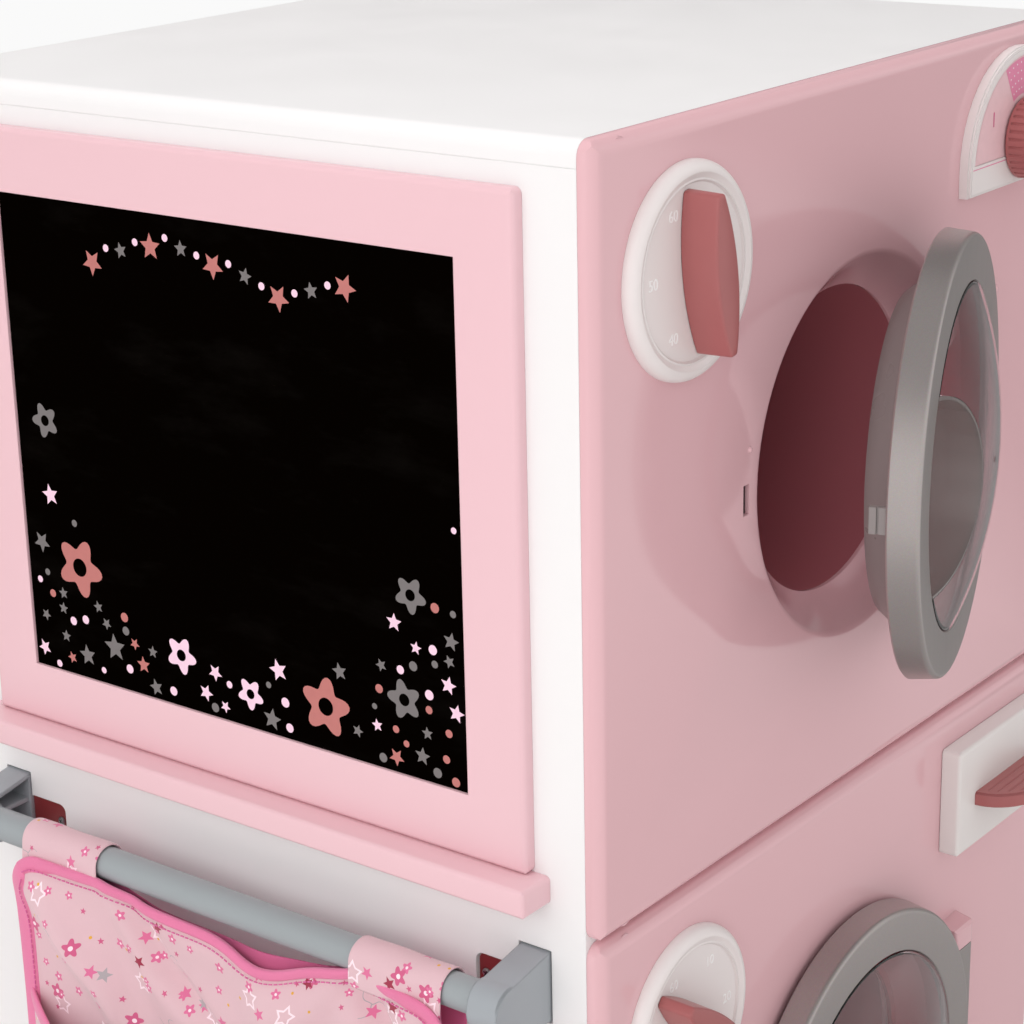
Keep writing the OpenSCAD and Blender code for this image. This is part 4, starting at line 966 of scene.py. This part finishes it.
def folded(y, z):
    """Offsets of the soft folds, which run down and inwards from the loops and the side seams."""
    out = np.zeros(y.shape + (3,))
    for line, deep, wide in FOLDS:
        line = np.array(line) * MM
        near = np.full(y.shape, 1.0)
        place = np.zeros(y.shape)
        for k, (a, b) in enumerate(zip(line[:-1], line[1:])):
            run = b - a
            u = np.clip(((y - a[0]) * run[0] + (z - a[1]) * run[1]) / (run @ run), 0, 1)
            gap = np.hypot(y - a[0] - u * run[0], z - a[1] - u * run[1])
            place = np.where(gap < near, (k + u) / (len(line) - 1), place)
            near = np.minimum(near, gap)
        fade = np.sin(np.pi * (0.12 + 0.80 * place))
        out[..., 0] += deep * MM * np.exp(-(near / (wide * MM)) ** 2) * fade
    return out


def settled(points, cut, held):
    """The grid after a cloth simulation: cut is the cloth's flat shape, held the points of the loops."""
    rows, cols = points.shape[:2]
    obj = mesh_object("bag_sim", points.reshape(-1, 3).tolist(), grid_faces(rows, cols), ["print"])
    obj.shape_key_add(name="Basis")
    rest = obj.shape_key_add(name="flat")
    rest.data.foreach_set("co", cut.astype(np.float32).ravel())
    pins = obj.vertex_groups.new(name="pins")
    pins.add(held, 1.0, "REPLACE")
    mod = obj.modifiers.new("cloth", "CLOTH")
    mod.settings.vertex_group_mass = "pins"
    mod.settings.rest_shape_key = rest
    for key, value in SIM_SETTINGS.items():
        setattr(mod.settings, key, value)
    mod.collision_settings.use_collision = False
    mod.collision_settings.use_self_collision = False
    mod.point_cache.frame_start, mod.point_cache.frame_end = 1, SIM_FRAMES
    scene = bpy.context.scene
    for frame_number in range(1, SIM_FRAMES + 1):
        scene.frame_set(frame_number)
    co = np.empty(rows * cols * 3, dtype=np.float32)
    result = obj.evaluated_get(bpy.context.evaluated_depsgraph_get()).data
    result.vertices.foreach_get("co", co)
    bpy.data.objects.remove(obj)
    scene.frame_set(1)
    return co.reshape(rows, cols, 3).astype(float)


def hung_panel(middle, loops):
    """The front panel, hung from its two loops by a cloth simulation."""
    y, z = flat_panel()
    rows, cols = y.shape
    half = (abs(loops[0] - loops[1]) - LOOP_W) / 2
    centre = (loops[0] + loops[1]) / 2 - middle.y
    inner = np.clip((y - centre) / half, -1, 1)
    started = y - inner * SLACK / 2
    depth = np.linspace(0, 1, rows)[:, None]
    swell = 2.5 * MM * np.cos(np.pi * inner / 2) * np.sin(np.pi * np.clip(depth * 1.1, 0, 1))
    rnd = random.Random(5)
    waves = [(rnd.uniform(1.5, 4.5), rnd.uniform(0.5, 2.5), rnd.uniform(0, 6.3), rnd.uniform(0.3, 0.9) * MM)
             for _ in range(7)]
    for across, down, shift, size in waves:
        swell = swell + size * np.sin(across * np.pi * y / BAG_W * 2 + down * np.pi * depth + shift)
    points = np.stack([middle.x - swell, middle.y + started, middle.z + z], axis=-1)
    spots = np.stack([y + 0.5, z + 0.5], axis=-1)
    points[..., 2] -= hem_sag(inner)
    shape = folded(y, z)
    shape[..., 2] += 0.9 * hem_dip(inner) * smoothstep(0.10, 0.55, depth)
    cut = np.stack([np.full_like(y, middle.x), middle.y + y, middle.z + z], axis=-1)
    held = [i for i in range(cols)
            if min(abs(middle.y + y[0, i] - c) for c in loops) <= LOOP_W / 2 + 1 * MM]
    return settled(points, cut, held) + shape, spots


def tape(grid, places, rises):
    """Rings of a folded tape over an edge: up its outer side to the edge, then down its inner side.

    places are rows of (s, t) at growing distance from the edge; rises are the tape's heights there.
    """
    points = [along(grid, s, t) for s, t in places]
    lifts = [outward(grid, s, t) * rise for (s, t), rise in zip(places, rises)]
    outer = [p + h for p, h in zip(points[::-1], lifts[::-1])]
    inner = [p - h for p, h in zip(points, lifts)]
    return np.stack(outer + inner, axis=1)


def tape_flat(run, rings, pitch):
    """Places on the flat tape: along it, and round its section."""
    return np.stack(np.meshgrid(run, np.arange(rings.shape[1]) * pitch, indexing="ij"), axis=-1)


def edge_path(inset_side, inset_top, step=TAPE_STEP):
    """(s, t) along a rectangle inset from the panel's edges, starting under the rear loop, all round."""
    s0, s1 = inset_side / BAG_W, 1 - inset_side / BAG_W
    across, down = int(BAG_W / step), int(BAG_H / step)
    t0, t1 = np.broadcast_to(inset_top / BAG_H, across), 1 - inset_side / BAG_H
    a = np.linspace(0, 1, across, endpoint=False)
    d = np.linspace(0, 1, down, endpoint=False)
    s = np.concatenate([s0 + (s1 - s0) * a, np.full(down, s1), s1 + (s0 - s1) * a, np.full(down, s0)])
    t = np.concatenate([t0, t0[-1] + (t1 - t0[-1]) * d, np.full(across, t1), t1 + (t0[0] - t1) * d])
    return s, t, across


def bound_edge(grid):
    """The binding round the panel: flat down the sides and foot, rolled along the hem."""
    insets = np.array([0.0, 0.9, 3.0, 6.5, 10.0, 13.0, 14.5]) * MM
    proud = np.array([0.35, 1.35, 1.9, 2.0, 1.8, 1.5, 0.75]) * MM
    base_s, base_t, across = edge_path(0, 0)
    hem = np.zeros(len(base_s))
    hem[:across] = smoothstep(0.03, 0.09, base_s[:across]) * smoothstep(0.03, 0.09, 1 - base_s[:across])
    places = [edge_path(inset, inset * (0.66 - 0.20 * hem[:across]))[:2] for inset in insets]
    rises = [(rise * (1 + 0.25 * hem * (rise > 1 * MM)))[:, None] for rise in proud]
    rings = tape(grid, places, rises)
    flat = tape_flat(np.arange(len(base_s)) * TAPE_STEP, rings, 2.4 * MM)
    rings = np.concatenate([rings, rings[:1]])
    flat = np.concatenate([flat, flat[-1:] + (TAPE_STEP, 0)])
    return cloth_grid("bag_binding_edge", rings, flat, "binding", thick=0, closed=True)


STITCH_SIDES = ((0, 1, 3, 2), (4, 6, 7, 5), (0, 4, 5, 1), (2, 3, 7, 6), (1, 5, 7, 3), (0, 2, 6, 4))


def stitches(name, spots, normals, length=2.3 * MM, wide=0.7 * MM, high=0.35 * MM):
    """Dashes of thread along a line of points."""
    verts, faces = [], []
    for k in range(len(spots) - 1):
        a, n = spots[k], normals[k]
        way = spots[k + 1] - a
        gap = np.linalg.norm(way)
        if gap < 1e-6:
            continue
        way = way / gap
        side = np.cross(n, way)
        base = len(verts)
        for end in (0, length):
            for across in (-wide / 2, wide / 2):
                for up in (-high, high):
                    verts.append(a + way * end + side * across + n * up)
        faces += [tuple(base + i for i in f) for f in STITCH_SIDES]
    return mesh_object(name, verts, faces, ["thread"])


def back_panel(grid):
    """The layer behind: joined to the front one at its edges, hung from the loops' far ends."""
    rows, cols = 40, 48
    s, t = np.meshgrid(np.linspace(0.012, 0.988, cols), np.linspace(0.004, 0.992, rows))
    points = along(grid, s, t)
    y = (0.5 - s) * BAG_W
    at_loops = np.exp(-((np.abs(y) - 0.130) / 0.034) ** 2)
    between = smoothstep(0.17, 0.10, np.abs(y))
    gap = 2.6 * MM + (17.5 * MM * at_loops + 6.0 * MM * between * (1 - at_loops)) * np.exp(-(t / 0.20) ** 2)
    points[..., 0] += gap * smoothstep(0.0, 0.03, s) * smoothstep(0.0, 0.03, 1 - s)
    inner = np.clip((y + 1 * MM) / 0.099, -1, 1)
    rise = hem_sag(inner) - SAG_BEHIND * np.cos(np.pi * inner / 2) ** 0.5
    points[..., 2] += rise * np.exp(-(t / 0.35) ** 2)
    flat = np.stack([0.9 - s * BAG_W, 0.9 - t * BAG_H], axis=-1)
    return points, flat


def pocket_points(grid):
    """The pocket: sagging mouth, full below, drawn in to its foot and side seams."""
    rows, cols = 46, 64
    s, t = np.meshgrid(np.linspace(-1, 1, cols), np.linspace(0, 1, rows))
    half = BAG_W / 2 - BIND_W * 0.55
    y = s * half
    mouth = POCKET_DROP + POCKET_SAG * (1 - s ** 2)
    foot = BAG_H - BIND_W * 0.6
    z = mouth + (foot - mouth) * t
    base = along(grid, 0.5 + y / BAG_W, z / BAG_H)
    level = np.clip(1 - (z - POCKET_DROP) / (foot - POCKET_DROP), 0, 1)
    full = 0.45 + 0.55 * np.sin(pi * 0.78 * level ** 0.6) - 0.08 * level
    closed = 1 - (1 - np.clip(level / 0.30, 0, 1)) ** 2.4
    side = (1 - s ** 2) ** 0.9
    bulge = POCKET_BULGE * side * full * closed
    gather = (np.sin(9 * s + 2.2 * t) * np.exp(-((t - 0.05) / 0.22) ** 2) * 2.0
              + np.sin(6 * s - 5 * t + 0.7) * 1.8 + np.sin(13 * s + 7 * t) * 0.7) * MM
    bulge = bulge + gather * side * np.minimum(1, closed * 1.5)
    lip = np.exp(-(t / 0.05) ** 2) * 3.0 * MM * side
    points = base - np.stack([bulge + lip + 0.8 * MM, 0 * s, 0 * s], axis=-1)
    flat = np.stack([1.5 + y * 1.13, 1.5 - z * 1.05], axis=-1)
    return points, flat


def bag_loop(name, y, hem, rod_at):
    """Strap from the front hem over the rod to the back layer's hem."""
    x, z = rod_at.x, rod_at.z
    path = [(x - LOOP_R - 0.9 * MM, hem - 9 * MM), (x - LOOP_R - 0.6 * MM, hem - 3 * MM),
            (x - LOOP_R, z - 2 * MM)]
    path += [(x - LOOP_R * cos(a), z + LOOP_R * sin(a))
             for a in np.linspace(0.1, pi - 0.1, 15)]
    path += [(x + LOOP_R + 0.3 * MM, z - 5 * MM), (x + LOOP_R + 0.2 * MM, z - 14 * MM),
             (x + LOOP_R - 1.0 * MM, z - 25 * MM), (x + LOOP_R - 3.0 * MM, z - 35 * MM)]
    path = np.array(path)
    run = np.concatenate([[0], np.cumsum(np.linalg.norm(np.diff(path, axis=0), axis=1))])
    across = np.linspace(LOOP_W / 2, -LOOP_W / 2, 23)
    points = np.empty((len(path), len(across), 3))
    for j, (px, pz) in enumerate(path):
        ripple = 0.35 * MM * np.sin(across * 150 + j * 0.5 + y * 40)
        points[j, :, 0] = px - ripple * cos(pi * j / (len(path) - 1))
        points[j, :, 1] = y + across * (1 - 0.02 * sin(pi * j / (len(path) - 1)))
        points[j, :, 2] = pz + ripple * 0.5
    flat = np.stack(np.meshgrid(run, across), axis=-1).transpose(1, 0, 2)[..., ::-1] + (2.2 + y * 3, 2.0)
    obj = cloth_grid(name, points, flat, "print", CLOTH_THICK)
    obj.data.materials.append(M["lining"])
    tail = (len(path) - 4) * (len(across) - 1)
    obj.data.polygons.foreach_set("material_index", [int(k >= tail) for k in range(len(obj.data.polygons))])
    return obj, float(run[-1])


def mouth_binding(points):
    """Folded tape along the pocket's mouth; points is the pocket's grid."""
    insets = np.array([0.0, 0.9, 3.5, 7.0, 10.5, 13.5]) * MM
    proud = np.array([0.35, 1.3, 1.7, 1.7, 1.5, 0.8]) * MM
    side = np.linspace(0.0, 1.0, 90)
    tall = BAG_H - BIND_W * 0.6 - POCKET_DROP - POCKET_SAG * (1 - (2 * side - 1) ** 2)
    rings = tape(points, [(side, inset / tall) for inset in insets], proud)
    flat = tape_flat(side * MOUTH_LONG, rings, 2.6 * MM)
    return cloth_grid("bag_mouth_binding", rings, flat, "binding", thick=0, closed=True)


def cloth_bag():
    back_lo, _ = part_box("bag_back")
    edge_lo, edge_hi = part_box("bag_binding")
    loop_lo, loop_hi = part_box("bag_loops")
    rod_lo, rod_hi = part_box("rod")
    loops = (loop_hi.y - LOOP_W / 2, loop_lo.y + LOOP_W / 2)
    hem = edge_hi.z + HEM_RISE
    middle = Vector((back_lo.x + 0.3 * MM, (edge_lo.y + edge_hi.y) / 2, hem - BAG_H / 2))
    grid, spots = hung_panel(middle, loops)
    front = cloth_grid("bag_front", grid, spots, "print")
    binding = bound_edge(grid)
    s, t, _ = edge_path(12.6 * MM, 8.0 * MM, 3.8 * MM)
    normals = outward(grid, s, t)
    sewn = stitches("bag_stitches", along(grid, s, t) + normals * 2.5 * MM, normals)
    behind = cloth_grid("bag_behind", *back_panel(grid), "lining")
    points, flat = pocket_points(grid)
    pocket = cloth_grid("bag_front_pocket", points, flat, "print")
    mouth = mouth_binding(points)
    at = Vector(((rod_lo.x + rod_hi.x) / 2, 0, (rod_lo.z + rod_hi.z) / 2))
    rear, length = bag_loop("bag_loop_rear", loops[0], hem, at)
    fore, _ = bag_loop("bag_loop_front", loops[1], hem, at)
    for obj in (front, behind, pocket, rear, fore):
        on_cabinet(obj)
    for obj in (binding, sewn, mouth):
        on_cabinet(obj)
    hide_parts("bag_back")
    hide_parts("bag_pocket")
    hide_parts("bag_loops")
    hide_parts("bag_binding")


# ---- build
dress_nodes()
make_camera()
make_stage()
chalkboard_print()
for unit in ("upper", "lower"):
    dial_numerals(unit)
timer_grip("upper", 8.5)  # degrees from upright, as in the photograph
timer_grip("lower", 48)
heat_label()
painted_screw_cross_shade()
cloth_bag()
